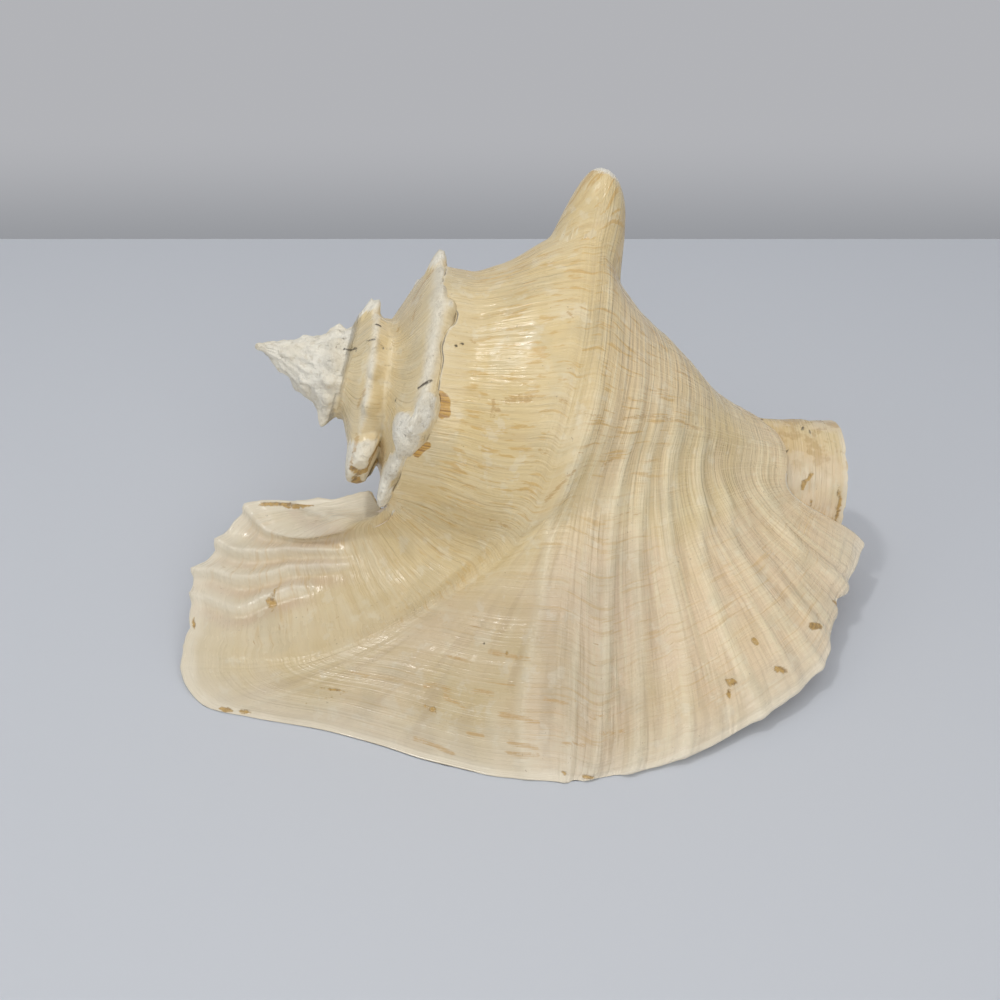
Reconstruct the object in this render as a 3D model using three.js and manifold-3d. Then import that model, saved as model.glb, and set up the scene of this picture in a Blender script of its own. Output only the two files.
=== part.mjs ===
// Queen conch shell (Aliger gigas): one piece, lying aperture down, in millimetres.
// +X runs from the apex to the siphonal canal, +Z is up, the flared outer lip spreads to -Y.
// The shell is a spiral about a tilted coiling axis. A point is given by
// s (distance along the axis from the apex), an angle (0 up, 90 to the front, growing
// with the shell) and r (distance from the axis).
import * as THREE from "three";
import Module from "manifold-3d";

const wasm = await Module();
wasm.setup();
const { Manifold, Mesh } = wasm;

// ---------- driving dimensions ----------
const APEX = [-110.7, 0, 98]; // before the whole shell is moved to its own origin
const AXIS_TILT = 17.5; // degrees, the canal end lower than the apex
const CANAL_END_X = 119.2; // the blunt end of the canal
const WALL_ROOT = 5.2; // wall thickness where the lip leaves the body whorl
const WALL_LIP = 6.4; // in the middle of the lip
const WALL_RIM = 3.6; // at the worn rim
const CANAL_WALL = 4.4;
const SURFACE_TOLERANCE = 0.16; // how far a facet may lie off the full surface
const WING_START = -46; // degrees, where the free outer wall starts
const CAVITY_START = -4; // degrees, closed end of the hollow inside the last whorl
const CAVITY_FULL = 38;
const SHIFT = [5.664, 21.733, 0]; // brings the bottom centre of the box to the origin

// ---------- growth tables, over the unrolled angle in degrees ----------
const TURN = [-2542, -2182, -1822, -1462, -1102, -742, -562, -382, -285, -216, -180, -135, -90, -22, 45, 75, 144];
const SHOULDER_S = [1.5, 5.5, 11, 17.5, 27, 39.5, 47.5, 57.5, 62, 68, 75, 87, 97, 106, 107, 106.5, 100];
const SHOULDER_R = [0.4, 2, 4.5, 8, 13.3, 24, 35, 47.5, 50.5, 54.5, 58.5, 62.5, 64.5, 65.5, 65, 63, 58];
const SUTURE_S = [0, 3, 7, 12.5, 19.5, 29.5, 36, 43.8, 48, 51, 52.5, 55, 57.5, 61, 63, 66, 59];
const SUTURE_R = [0, 1, 2.8, 5.2, 9, 14.5, 18, 22.8, 27, 31, 33.5, 37.5, 42, 48.1, 50, 51, 50];
const BASE_S_TURN = [-2542, -742, -382, -180, -90, -22, 45, 75, 144];
const BASE_S = [6, 75, 130, 170, 186, 198, 200, 200, 200];
const RAMP = [[0, 0.2, 0.42, 0.69, 1], [0, 0.02, 0.3, 0.72, 1]]; // suture to shoulder
const BASE = [
  [0, 0.098, 0.196, 0.348, 0.474, 0.62, 0.739, 0.87, 1],
  [1, 0.962, 0.895, 0.775, 0.69, 0.575, 0.478, 0.418, 0.385],
]; // shoulder to the foot of the whorl
const VS = 0.4; // place of the shoulder across the whorl, 0 suture, 1 foot

// columella, fasciole and canal: radius over s (rows) and angle (columns)
const FOOT_ANGLE = [-180, -135, -90, -45, -22, 0, 45, 90, 125, 150, 180];
const FOOT_S = [100, 150, 185, 198, 214, 232, 252];
const FOOT_R = [
  [24, 23, 22, 20, 20, 18, 15, 13, 14, 18, 24],
  [25, 25, 24, 23, 23, 20, 16, 13, 14, 18, 25],
  [26, 25, 24, 24, 24.5, 22, 17, 13, 13, 18, 26],
  [26.5, 25.5, 24, 24.5, 25, 23, 18, 14, 13, 18, 26.5],
  [27, 26, 25, 28, 29, 27, 21.5, 19, 18, 21, 27],
  [27, 27, 27, 32, 33, 31, 23, 17.5, 16.5, 21, 27],
  [27, 28, 29, 34, 35, 33, 24, 16, 15, 21, 27],
];

// the lip's rim, over v: x, y, z
const RIM = [
  [0, -69.2, -24.6, 49],
  [0.03, -78.5, -24.3, 46.5],
  [0.06, -87.8, -25.4, 44],
  [0.1, -112.8, -15.5, 38],
  [0.14, -121.5, -18.6, 33],
  [0.2, -131.6, -31.3, 23.5],
  [0.26, -137.8, -39.3, 17.5],
  [0.32, -136.4, -57.4, 12],
  [0.36, -137.4, -69.5, 6.5],
  [0.4, -134.5, -78.4, 2.5],
  [0.415, -124, -90, 0],
  [0.43, -105.9, -95.3, 0],
  [0.442, -79, -101.5, 0],
  [0.452, -60.6, -107.9, 0],
  [0.462, -40.7, -115.9, 0],
  [0.472, -19.4, -122, 0],
  [0.484, -1.2, -123.7, 0],
  [0.52, 6.2, -123.3, 0],
  [0.55, 12.9, -122.2, 0.3],
  [0.6, 26.7, -119.9, 1.5],
  [0.65, 45.4, -114.2, 3],
  [0.71, 71.8, -99.6, 6],
  [0.78, 98.7, -75.9, 10],
  [0.85, 108.4, -51.7, 14],
  [0.92, 116.6, -36.9, 17],
  [1, 126.2, -19.7, 20],
];
// half way points of the lip, over v: x, y, z
const MIDDLE = [
  [0, -61.8, -39.4, 49.8],
  [0.05, -74.4, -39.4, 44.4],
  [0.1, -80.7, -35.7, 36],
  [0.2, -77.5, -46.9, 27.5],
  [0.3, -69.7, -64.2, 22.8],
  [0.36, -64.9, -76.4, 22.1],
  [0.4, -60.8, -82.9, 22.3],
  [0.415, -58.2, -87.2, 24.4],
  [0.43, -53.2, -89.4, 24.2],
  [0.442, -45.5, -91.2, 24.4],
  [0.452, -37.9, -92.5, 24.7],
  [0.462, -28.9, -94.3, 25.1],
  [0.472, -16.7, -95.4, 26.6],
  [0.484, -0.4, -94.5, 27.5],
  [0.52, 10.5, -91.8, 29.6],
  [0.55, 15.8, -89, 30.8],
  [0.6, 27.1, -83.6, 33.2],
  [0.65, 41.4, -78.4, 35],
  [0.71, 57, -68.5, 36.8],
  [0.78, 74.6, -55, 35.9],
  [0.85, 86.7, -41.8, 34.5],
  [0.92, 94.4, -32.3, 34.4],
  [1, 102.1, -20.7, 36.4],
];
const LEAVE = [
  [0, 0.1, 0.4, 0.45, 0.484, 0.55, 0.65, 0.8, 1],
  [112, 110, 100, 84, 74, 64, 56, 50, 46],
]; // angle at which the lip leaves the spiral
const REACH = [
  [0, 0.2, 0.4, 0.484, 0.6, 1],
  [0.9, 1, 1, 0.9, 0.9, 0.9],
];
const FAN = [
  [0, 0.38, 0.43, 0.48, 0.55, 1],
  [1, 1, 0.3, 0.3, 1, 1],
];

// spines and knobs: s and angle of the foot, foot radius, length above the shoulder, lean along s, lean in angle
const SPINES = [
  [106, -18, 21, 30, 3, 1],
  [103, -58, 15, 16.5, -3, -2],
  [96, -97, 14, 17, -5, -2],
  [86, -136, 13, 21, -6, -3],
  [77, -163, 13, 26.5, -5, 0],
  [57.5, -22, 8, 5, -1, 0],
  [60, 22, 6, 3, 0, 0],
  [61, 77, 9, 6, -6, 0],
  [63, 128, 8, 8, -7, 6],
  [57, -62, 7, 6, -3, 0],
  [56, -100, 7, 6, -3, 0],
  [56, -140, 7, 6, -3, 0],
  [60, -172, 8, 7, -5, 0],
  [39.5, -22, 5, 5.5, -2, 0],
  [41, 40, 4, 4, -1, 0],
  [43, 84, 5, 6, -3, 0],
  [47, 120, 8, 12, -7, 3],
  [40, -62, 5, 5, -2, 0],
  [40, -105, 5, 6, -2, 0],
  [44, -150, 6, 8, -3, 0],
  [49, 172, 7, 9, -5, 0],
];

// ---------- helpers ----------
const rad = Math.PI / 180;
const A = [Math.cos(AXIS_TILT * rad), 0, -Math.sin(AXIS_TILT * rad)];
const N = [Math.sin(AXIS_TILT * rad), 0, Math.cos(AXIS_TILT * rad)];
const add = (a, b, k = 1) => [a[0] + b[0] * k, a[1] + b[1] * k, a[2] + b[2] * k];
const sub = (a, b) => [a[0] - b[0], a[1] - b[1], a[2] - b[2]];
const mul = (a, k) => [a[0] * k, a[1] * k, a[2] * k];
const dot = (a, b) => a[0] * b[0] + a[1] * b[1] + a[2] * b[2];
const len = (a) => Math.hypot(a[0], a[1], a[2]);
const unit = (a) => mul(a, 1 / (len(a) || 1));
const cross = (a, b) => [a[1] * b[2] - a[2] * b[1], a[2] * b[0] - a[0] * b[2], a[0] * b[1] - a[1] * b[0]];
const clamp = (x, a, b) => Math.min(b, Math.max(a, x));
const smooth = (a, b, x) => {
  const t = clamp((x - a) / (b - a), 0, 1);
  return t * t * (3 - 2 * t);
};
// monotone cubic through (xs, ys)
function curve(xs, ys) {
  const n = xs.length, h = [], d = [], m = new Array(n).fill(0);
  for (let i = 0; i < n - 1; i++) {
    h.push(xs[i + 1] - xs[i]);
    d.push((ys[i + 1] - ys[i]) / h[i]);
  }
  m[0] = d[0];
  m[n - 1] = d[n - 2];
  for (let i = 1; i < n - 1; i++)
    if (d[i - 1] * d[i] > 0) {
      const w1 = 2 * h[i] + h[i - 1], w2 = h[i] + 2 * h[i - 1];
      m[i] = (w1 + w2) / (w1 / d[i - 1] + w2 / d[i]);
    }
  return (x0) => {
    const x = clamp(x0, xs[0], xs[n - 1]);
    let i = 0;
    while (i < n - 2 && x > xs[i + 1]) i++;
    const t = (x - xs[i]) / h[i], t2 = t * t, t3 = t2 * t;
    return (2 * t3 - 3 * t2 + 1) * ys[i] + (t3 - 2 * t2 + t) * h[i] * m[i] + (-2 * t3 + 3 * t2) * ys[i + 1] + (t3 - t2) * h[i] * m[i + 1];
  };
}
const shoulderS = curve(TURN, SHOULDER_S), shoulderR = curve(TURN, SHOULDER_R);
const sutureS = curve(TURN, SUTURE_S), sutureR = curve(TURN, SUTURE_R);
const baseS = curve(BASE_S_TURN, BASE_S);
const ramp = curve(...RAMP), base = curve(...BASE), leave = curve(...LEAVE), reach = curve(...REACH), fan = curve(...FAN);
const path3 = (rows) => {
  const v = rows.map((q) => q[0]);
  const c = [1, 2, 3].map((k) => curve(v, rows.map((q) => q[k])));
  return (x) => [c[0](x), c[1](x), c[2](x)];
};
const rim = path3(RIM), middle = path3(MIDDLE);
const at = (s, deg, r) => {
  const c = Math.cos(deg * rad) * r, w = Math.sin(deg * rad) * r;
  return [APEX[0] + s * A[0] + c * N[0], APEX[1] - w, APEX[2] + s * A[2] + c * N[2]];
};

// outer surface of the last whorl
function whorl(deg, v) {
  if (v <= VS) {
    const t = v / VS;
    return at(
      sutureS(deg) + (shoulderS(deg) - sutureS(deg)) * t, deg,
      sutureR(deg) + (shoulderR(deg) - sutureR(deg)) * ramp(t),
    );
  }
  const q = (v - VS) / (1 - VS);
  return at(shoulderS(deg) + (baseS(deg) - shoulderS(deg)) * q, deg, shoulderR(deg) * base(q));
}
// radius of one whorl at s, or 0 above its suture
function whorlRadius(deg, s) {
  const s0 = sutureS(deg), s1 = shoulderS(deg), s2 = baseS(deg);
  if (s < s0) return 0;
  if (s <= s1) return sutureR(deg) + (shoulderR(deg) - sutureR(deg)) * ramp((s - s0) / (s1 - s0));
  if (s <= s2) return shoulderR(deg) * base((s - s1) / (s2 - s1));
  return shoulderR(deg) * base(1) * (1 - 0.5 * smooth(s2, s2 + 40, s));
}
const footRows = FOOT_R.map((r) => curve(FOOT_ANGLE, r));
function footRadius(s, deg) {
  if (s < FOOT_S[0]) return footRows[0](deg) * clamp((s - 10) / (FOOT_S[0] - 10), 0, 1);
  let i = 0;
  while (i < FOOT_S.length - 2 && s > FOOT_S[i + 1]) i++;
  const t = clamp((s - FOOT_S[i]) / (FOOT_S[i + 1] - FOOT_S[i]), 0, 1);
  return footRows[i](deg) * (1 - t) + footRows[i + 1](deg) * t;
}
// spire, inner whorls, closed part of the last whorl, columella and canal as one radius
function coreRadius(s, deg) {
  let r = footRadius(s, deg);
  for (let k = 1; k <= 6; k++) if (deg - 360 * k >= TURN[0]) r = Math.max(r, whorlRadius(deg - 360 * k, s));
  const full = whorlRadius(deg, s);
  const w = 1 - smooth(CAVITY_START, CAVITY_FULL, deg);
  if (full > r) r += (full - 0.6 - r) * w;
  return Math.max(r, 0.05);
}

// lip: cubic from the body whorl through its middle to the rim
function lip(v, t) {
  const d = leave(v), p = whorl(d, v), e = rim(v), m = middle(v);
  const chord = len(sub(e, p));
  const t0 = mul(unit(sub(whorl(d + 0.5, v), whorl(d - 0.5, v))), chord * reach(v));
  const through = add(add(t0, add(p, e), 4), m, -8);
  const straight = mul(sub(e, m), 2);
  const f = fan(v);
  const t1 = add(mul(through, f), straight, 1 - f);
  const t2 = t * t, t3 = t2 * t;
  return add(add(mul(p, 2 * t3 - 3 * t2 + 1), t0, t3 - 2 * t2 + t), add(mul(e, -2 * t3 + 3 * t2), t1, t3 - t2));
}
// outer surface of the free wall: u -1..0 on the whorl, 0..1 on the lip
function outer(u, v) {
  if (u <= 0) {
    const d = leave(v);
    return whorl(WING_START + (d - WING_START) * (1 + u), v);
  }
  return lip(v, u);
}
const wall = (u, v) => {
  const w = u < 0.45 ? WALL_ROOT + (WALL_LIP - WALL_ROOT) * smooth(-0.4, 0.45, u) : WALL_LIP + (WALL_RIM - WALL_LIP) * smooth(0.45, 1, u);
  return w * (0.55 + 0.45 * smooth(0, 0.08, v)) * (0.7 + 0.3 * smooth(1, 0.93, v));
};
function outerNormal(u, v) {
  const e = 0.01, g = 0.012 + 0.02 * smooth(0.34, 0.4, v) * smooth(0.5, 0.44, v);
  const a = sub(outer(Math.min(u + e, 1), v), outer(Math.max(u - e, -1), v));
  const b = sub(outer(u, Math.min(v + g, 1)), outer(u, Math.max(v - g, 0)));
  return unit(cross(a, b));
}

// ---------- solids ----------
function solid(points, tris) {
  const make = (t) => new Manifold(new Mesh({ numProp: 3, vertProperties: new Float32Array(points.flat()), triVerts: new Uint32Array(t.flat()) }));
  let m = make(tris);
  if (m.volume() < 0) m = make(tris.map(([a, b, c]) => [a, c, b]));
  return m;
}
// closed body from rings of equal length, with a pole or a flat fan at each end
function loft(rings, p0, p1) {
  const n = rings[0].length, pts = rings.flat(), tris = [];
  const id = (i, j) => i * n + (j % n);
  for (let i = 0; i < rings.length - 1; i++)
    for (let j = 0; j < n; j++) {
      tris.push([id(i, j), id(i + 1, j), id(i + 1, j + 1)]);
      tris.push([id(i, j), id(i + 1, j + 1), id(i, j + 1)]);
    }
  pts.push(p0, p1);
  for (let j = 0; j < n; j++) {
    tris.push([pts.length - 2, id(0, j), id(0, j + 1)]);
    tris.push([pts.length - 1, id(rings.length - 1, j + 1), id(rings.length - 1, j)]);
  }
  return solid(pts, tris);
}
// closed body between two grids that share their outline side
function slab(top, bottom) {
  const n = top.length, m = top[0].length, pts = [...top.flat(), ...bottom.flat()], tris = [];
  const t = (i, j) => i * m + j, b = (i, j) => n * m + i * m + j;
  for (let i = 0; i < n - 1; i++)
    for (let j = 0; j < m - 1; j++) {
      tris.push([t(i, j), t(i + 1, j), t(i + 1, j + 1)], [t(i, j), t(i + 1, j + 1), t(i, j + 1)]);
      tris.push([b(i, j), b(i + 1, j + 1), b(i + 1, j)], [b(i, j), b(i, j + 1), b(i + 1, j + 1)]);
    }
  const side = (a, c, d, e) => tris.push([a, c, d], [a, d, e]);
  for (let i = 0; i < n - 1; i++) {
    side(t(i, 0), b(i, 0), b(i + 1, 0), t(i + 1, 0));
    side(t(i, m - 1), t(i + 1, m - 1), b(i + 1, m - 1), b(i, m - 1));
  }
  for (let j = 0; j < m - 1; j++) {
    side(t(0, j), t(0, j + 1), b(0, j + 1), b(0, j));
    side(t(n - 1, j), b(n - 1, j), b(n - 1, j + 1), t(n - 1, j + 1));
  }
  return solid(pts, tris);
}

function makeCore() {
  const stations = [];
  for (const [a, b, n] of [[1.2, 30, 11], [30, 68, 17], [68, 130, 14], [130, 205, 12], [205, 228, 5]])
    for (let i = 0; i < n; i++) stations.push(a + ((b - a) * i) / n);
  const angles = [];
  for (let j = 0; j < 48; j++) angles.push(-180 + 7.5 * j);
  const rings = stations.map((s) => angles.map((d) => at(s, d, coreRadius(s, d))));
  // last ring lies in the blunt end of the canal
  rings.push(angles.map((d) => {
    let s = 240, r = 20;
    for (let k = 0; k < 8; k++) {
      r = footRadius(s, d);
      s = (CANAL_END_X - APEX[0] - r * Math.cos(d * rad) * N[0]) / A[0];
    }
    return at(s, d, r);
  }));
  return loft(rings, at(0, 0, 0), [CANAL_END_X, 0, APEX[2] + (CANAL_END_X - APEX[0]) / A[0] * A[2]]);
}
function makeLip() {
  const us = [], vs = [];
  for (let i = 0; i <= 9; i++) us.push(-1 + i / 9);
  for (let i = 1; i <= 15; i++) us.push(i / 15);
  for (const [a, b, n] of [[0, 0.4, 13], [0.4, 0.484, 8], [0.484, 1, 14]]) for (let i = 0; i < n; i++) vs.push(a + ((b - a) * i) / n);
  vs.push(1);
  const top = us.map((u) => vs.map((v) => outer(u, v)));
  const bottom = us.map((u) => vs.map((v) => add(outer(u, v), outerNormal(u, v), -wall(u, v))));
  return slab(top, bottom);
}
// taper of a spine from foot to tip, slender and broad
const SLENDER = [1, 0.74, 0.52, 0.36, 0.25, 0.14], BROAD = [1, 0.86, 0.7, 0.53, 0.36, 0.2];
// spine: rings from a wide foot inside the shell to a blunt tip
function makeSpine([s, deg, foot, tall, leanS, leanA]) {
  const r0 = coreOuterRadius(s, deg) - foot * 0.55, r1 = r0 + foot * 0.55 + tall;
  const rings = [], n = 12;
  const levels = [0, 0.22, 0.42, 0.62, 0.82, 0.95];
  const widths = tall > 27 ? BROAD : SLENDER;
  levels.forEach((f, i) => {
    const c = at(s + leanS * f * f, deg + leanA * f * f, r0 + (r1 - r0) * f);
    const along = A, around = unit(sub(at(s, deg + 1, r0), at(s, deg - 1, r0)));
    rings.push([...Array(n)].map((_, j) => {
      const t = (j / n) * 2 * Math.PI;
      return add(add(c, along, Math.cos(t) * foot * widths[i]), around, Math.sin(t) * foot * widths[i] * 0.85);
    }));
  });
  return loft(rings, at(s, deg, r0), at(s + leanS, deg + leanA, r1));
}
function coreOuterRadius(s, deg) {
  let d = deg, r = 0;
  for (let k = 0; k <= 6; k++) if (d - 360 * k >= TURN[0]) r = Math.max(r, whorlRadius(d - 360 * k, s));
  return r;
}
// hollow of the canal: ceiling a wall thickness under the outside, open below and in front
function makeCanalHollow() {
  const rings = [];
  for (const [s, d0, yb, wallAt] of [[172, 70, -15, -4], [187, 44, -9, -3], [203, 4, -1, 2.2], [218, -34, 8, CANAL_WALL], [234, -50, 12, CANAL_WALL], [258, -52, 13, CANAL_WALL]]) {
    const ring = [];
    for (let j = 0; j <= 8; j++) {
      const d = d0 + ((104 - d0) * j) / 8;
      ring.push(at(s, d, Math.max(footRadius(s, d) - wallAt, 2)));
    }
    ring.push(at(s, 128, 40), at(s, 150, 60));
    const low = at(s, 180, 62), knee = at(s, 180, 17);
    ring.push([low[0], yb - 12, low[2]], [knee[0], yb - 5, knee[2]]);
    rings.push(ring);
  }
  const mid = (r) => mul(r.reduce((a, b) => add(a, b)), 1 / r.length);
  return loft(rings, mid(rings[0]), mid(rings[rings.length - 1]));
}

let shell = makeCore().subtract(makeCanalHollow()).add(makeLip());
for (const sp of SPINES) shell = shell.add(makeSpine(sp));
// worn resting facets: whatever would pass through the table is ground flat
shell = shell.trimByPlane([0, 0, 1], 0);
const bodies = shell.decompose().sort((a, b) => b.volume() - a.volume());
shell = bodies[0].asOriginal().simplify(SURFACE_TOLERANCE).translate(SHIFT);

const data = shell.getMesh();
const position = new Float32Array(data.numVert * 3);
for (let i = 0; i < data.numVert; i++)
  for (let k = 0; k < 3; k++) position[i * 3 + k] = data.vertProperties[i * data.numProp + k];
const geometry = new THREE.BufferGeometry()
  .setAttribute("position", new THREE.BufferAttribute(position, 3))
  .setIndex(new THREE.BufferAttribute(data.triVerts, 1));
const mesh = new THREE.Mesh(geometry, new THREE.MeshStandardMaterial({ color: 0xe8d9bd }));
mesh.name = "conch_shell";
const root = new THREE.Group();
root.add(mesh);
export default root;
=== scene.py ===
# Queen conch shell, the looks of the one-piece part, in the frame of the CAD row.
# Geometry is worked out in millimetres and moved to metres at the end.
import math

import numpy as np
import bpy
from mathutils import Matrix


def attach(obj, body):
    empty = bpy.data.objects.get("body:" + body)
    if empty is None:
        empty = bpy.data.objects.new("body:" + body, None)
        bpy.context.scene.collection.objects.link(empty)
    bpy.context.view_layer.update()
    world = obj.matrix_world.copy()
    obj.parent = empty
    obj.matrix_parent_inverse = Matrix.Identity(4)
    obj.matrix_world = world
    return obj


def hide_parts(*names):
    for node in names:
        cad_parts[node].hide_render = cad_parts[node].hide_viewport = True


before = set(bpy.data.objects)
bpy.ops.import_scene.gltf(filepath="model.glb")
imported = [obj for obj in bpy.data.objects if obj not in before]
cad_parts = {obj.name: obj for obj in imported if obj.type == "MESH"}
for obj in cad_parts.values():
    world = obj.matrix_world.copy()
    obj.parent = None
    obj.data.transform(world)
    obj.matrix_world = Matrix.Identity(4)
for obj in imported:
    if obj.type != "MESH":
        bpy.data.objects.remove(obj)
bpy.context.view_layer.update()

# ---------------------------------------------------------------- curves
def curve(xs, ys):
    xs = np.asarray(xs, float); ys = np.asarray(ys, float); h = np.diff(xs); d = np.diff(ys) / h; n = len(xs)
    m = np.zeros(n); m[0] = d[0]; m[-1] = d[-1]
    for i in range(1, n - 1):
        if d[i - 1] * d[i] > 0:
            w1 = 2 * h[i] + h[i - 1]; w2 = h[i] + 2 * h[i - 1]; m[i] = (w1 + w2) / (w1 / d[i - 1] + w2 / d[i])
    def f(x):
        x = np.clip(np.asarray(x, float), xs[0], xs[-1]); i = np.clip(np.searchsorted(xs, x) - 1, 0, n - 2); t = (x - xs[i]) / h[i]
        return (2*t**3-3*t*t+1)*ys[i] + (t**3-2*t*t+t)*h[i]*m[i] + (-2*t**3+3*t*t)*ys[i+1] + (t**3-t*t)*h[i]*m[i+1]
    return f
def smooth(a, b, x):
    t = np.clip((np.asarray(x, float) - a) / (b - a), 0, 1)
    return t * t * (3 - 2 * t)
# ---------------------------------------------------------------- dimensions, mm
APEX = np.array([-110.7, 0, 98.0]); TILT = np.radians(17.5)
AX = np.array([np.cos(TILT), 0, -np.sin(TILT)]); NX = np.array([np.sin(TILT), 0, np.cos(TILT)])
CANAL_END_X = 115.6
TURN = [-2542, -2182, -1822, -1462, -1102, -742, -562, -382, -285, -216, -180, -135, -90, -22, 45, 75, 144]
SHOULDER_S = [1.5, 5.5, 11, 17.5, 27, 39.5, 47.5, 57.5, 62, 68, 75, 87, 97, 106, 107, 106.5, 100]
SHOULDER_R = [0.4, 2, 4.5, 8, 13.3, 24, 35, 47.5, 50.5, 54.5, 58.5, 62.5, 64.5, 65.5, 65, 63, 58]
SUTURE_S = [0, 3, 7, 12.5, 19.5, 29.5, 36, 43.8, 48, 51, 52.5, 55, 57.5, 61, 63, 66, 59]
SUTURE_R = [0, 1, 2.8, 5.2, 9, 14.5, 18, 22.8, 27, 31, 33.5, 37.5, 42, 48.1, 50, 51, 50]
BASE_S_TURN = [-2542, -742, -382, -180, -90, -22, 45, 75, 144]
BASE_S = [6, 75, 130, 170, 186, 198, 205, 205, 205]
VS = 0.4
FOOT_ANGLE = [-180, -135, -90, -45, -22, 0, 45, 90, 125, 150, 180]
FOOT_S = [100, 150, 185, 198, 214, 232, 252]
FOOT_R = [
 [24, 23, 22, 20, 20, 18, 15, 13, 14, 18, 24],
 [25, 25, 24, 23, 23, 20, 16, 13, 14, 18, 25],
 [26, 25, 24, 24, 24.5, 22, 17, 13, 13, 18, 26],
 [26.5, 25.5, 24, 24.5, 25, 23, 18, 14, 13, 18, 26.5],
 [27, 26, 25, 28, 29, 27, 21.5, 19, 18, 21, 27],
 [27, 27, 27, 32, 33, 31, 23, 17.5, 16.5, 21, 27],
 [27, 28, 29, 34, 35, 33, 24, 16, 15, 21, 27]]
sh_s = curve(TURN, SHOULDER_S); sh_r = curve(TURN, SHOULDER_R)
su_s = curve(TURN, SUTURE_S); su_r = curve(TURN, SUTURE_R); ba_s = curve(BASE_S_TURN, BASE_S)
RAMP_V = [0, .2, .42, .69, 1.]; RAMP_R = [0, .02, .30, .72, 1.]
BASE_V = [0, .098, .196, .348, .474, .62, .739, .87, 1]; BASE_R = [1, .962, .895, .775, .69, .575, .478, .418, .385]
ramp = curve(RAMP_V, RAMP_R); base = curve(BASE_V, BASE_R)
leave = curve([0, .1, .4, .45, .484, .55, .65, .8, 1.], [112, 110, 100, 84, 74, 64, 56, 50, 46])
reach = curve([0, .2, .4, .484, .6, 1], [.9, 1.0, 1.0, .9, .9, .9])
fan = curve([0, .38, .43, .48, .55, 1], [1, 1, .3, .3, 1, 1])
def at(s, deg, r):
    s, deg, r = np.broadcast_arrays(np.asarray(s, float), np.asarray(deg, float), np.asarray(r, float)); t = np.radians(deg)
    return APEX + s[..., None]*AX + (r*np.cos(t))[..., None]*NX - (r*np.sin(t))[..., None]*np.array([0, 1.0, 0])
def whorl_sr(deg, v):
    t = np.clip(v/VS, 0, 1); q = np.clip((v-VS)/(1-VS), 0, 1)
    s1 = su_s(deg)+(sh_s(deg)-su_s(deg))*t; r1 = su_r(deg)+(sh_r(deg)-su_r(deg))*ramp(t)
    s2 = sh_s(deg)+(ba_s(deg)-sh_s(deg))*q; r2 = sh_r(deg)*base(q)
    return np.where(v <= VS, s1, s2), np.where(v <= VS, r1, r2)
def whorl(deg, v):
    s, r = whorl_sr(deg, v); return at(s, deg, r)
RIM = [
 [0, -69.2, -24.6, 49],
 [0.03, -78.5, -24.3, 46.5],
 [0.06, -87.8, -25.4, 44],
 [0.1, -112.8, -15.5, 38],
 [0.14, -121.5, -18.6, 33],
 [0.2, -131.6, -31.3, 23.5],
 [0.26, -137.8, -39.3, 17.5],
 [0.32, -136.4, -57.4, 12],
 [0.36, -137.4, -69.5, 6.5],
 [0.4, -134.5, -78.4, 2.5],
 [0.415, -124, -90, 0],
 [0.43, -105.9, -95.3, 0],
 [0.442, -79, -101.5, 0],
 [0.452, -60.6, -107.9, 0],
 [0.462, -40.7, -115.9, 0],
 [0.472, -19.4, -122, 0],
 [0.484, -1.2, -123.7, 0],
 [0.52, 6.2, -123.3, 0],
 [0.55, 12.9, -122.2, 0.3],
 [0.6, 26.7, -119.9, 1.5],
 [0.65, 45.4, -114.2, 3],
 [0.71, 71.8, -99.6, 6],
 [0.78, 98.7, -75.9, 10],
 [0.85, 108.4, -51.7, 14],
 [0.92, 116.6, -36.9, 17],
 [1, 126.2, -19.7, 20],
]
MIDDLE = [
 [0, -61.8, -39.4, 49.8],
 [0.05, -74.4, -39.5, 44.4],
 [0.1, -80.7, -35.7, 36],
 [0.2, -77.5, -46.9, 27.5],
 [0.3, -69.7, -64.2, 22.8],
 [0.36, -64.9, -76.4, 22.1],
 [0.4, -60.8, -82.9, 22.3],
 [0.415, -58.2, -87.2, 24.4],
 [0.43, -53.2, -89.4, 24.1],
 [0.442, -45.5, -91.1, 24.4],
 [0.452, -37.9, -92.4, 24.7],
 [0.462, -28.9, -94.3, 25],
 [0.472, -16.7, -95.4, 26.5],
 [0.484, -0.4, -94.4, 27.5],
 [0.52, 10.5, -91.7, 29.5],
 [0.55, 15.8, -89, 30.7],
 [0.6, 27.1, -83.5, 33.1],
 [0.65, 41.4, -78.3, 34.9],
 [0.71, 57.1, -68.3, 36.6],
 [0.78, 74.6, -54.8, 35.7],
 [0.85, 87.5, -41.5, 34.3],
 [0.92, 95.3, -31.5, 34.8],
 [1, 103.4, -20.1, 36.4],
]
def path3(rows):
    v = [q[0] for q in rows]; c = [curve(v, [q[k] for q in rows]) for k in (1, 2, 3)]
    return lambda x: np.stack([f(x) for f in c], -1)
rim3 = path3(RIM); mid3 = path3(MIDDLE)
def lip(v, t):
    v, t = np.broadcast_arrays(v, t)
    d = leave(v); p = whorl(d, v); e = rim3(v); m = mid3(v)
    chord = np.linalg.norm(e-p, axis=-1); T0 = whorl(d+.5, v)-whorl(d-.5, v)
    T0 = T0/np.linalg.norm(T0, axis=-1, keepdims=True)*(chord*reach(v))[..., None]
    f = fan(v)[..., None]
    T1 = (T0+4*(p+e)-8*m)*f + 2*(e-m)*(1-f)
    t = t[..., None]; t2 = t*t; t3 = t2*t
    return (2*t3-3*t2+1)*p+(t3-2*t2+t)*T0+(-2*t3+3*t2)*e+(t3-t2)*T1
WS = -150.0
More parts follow.
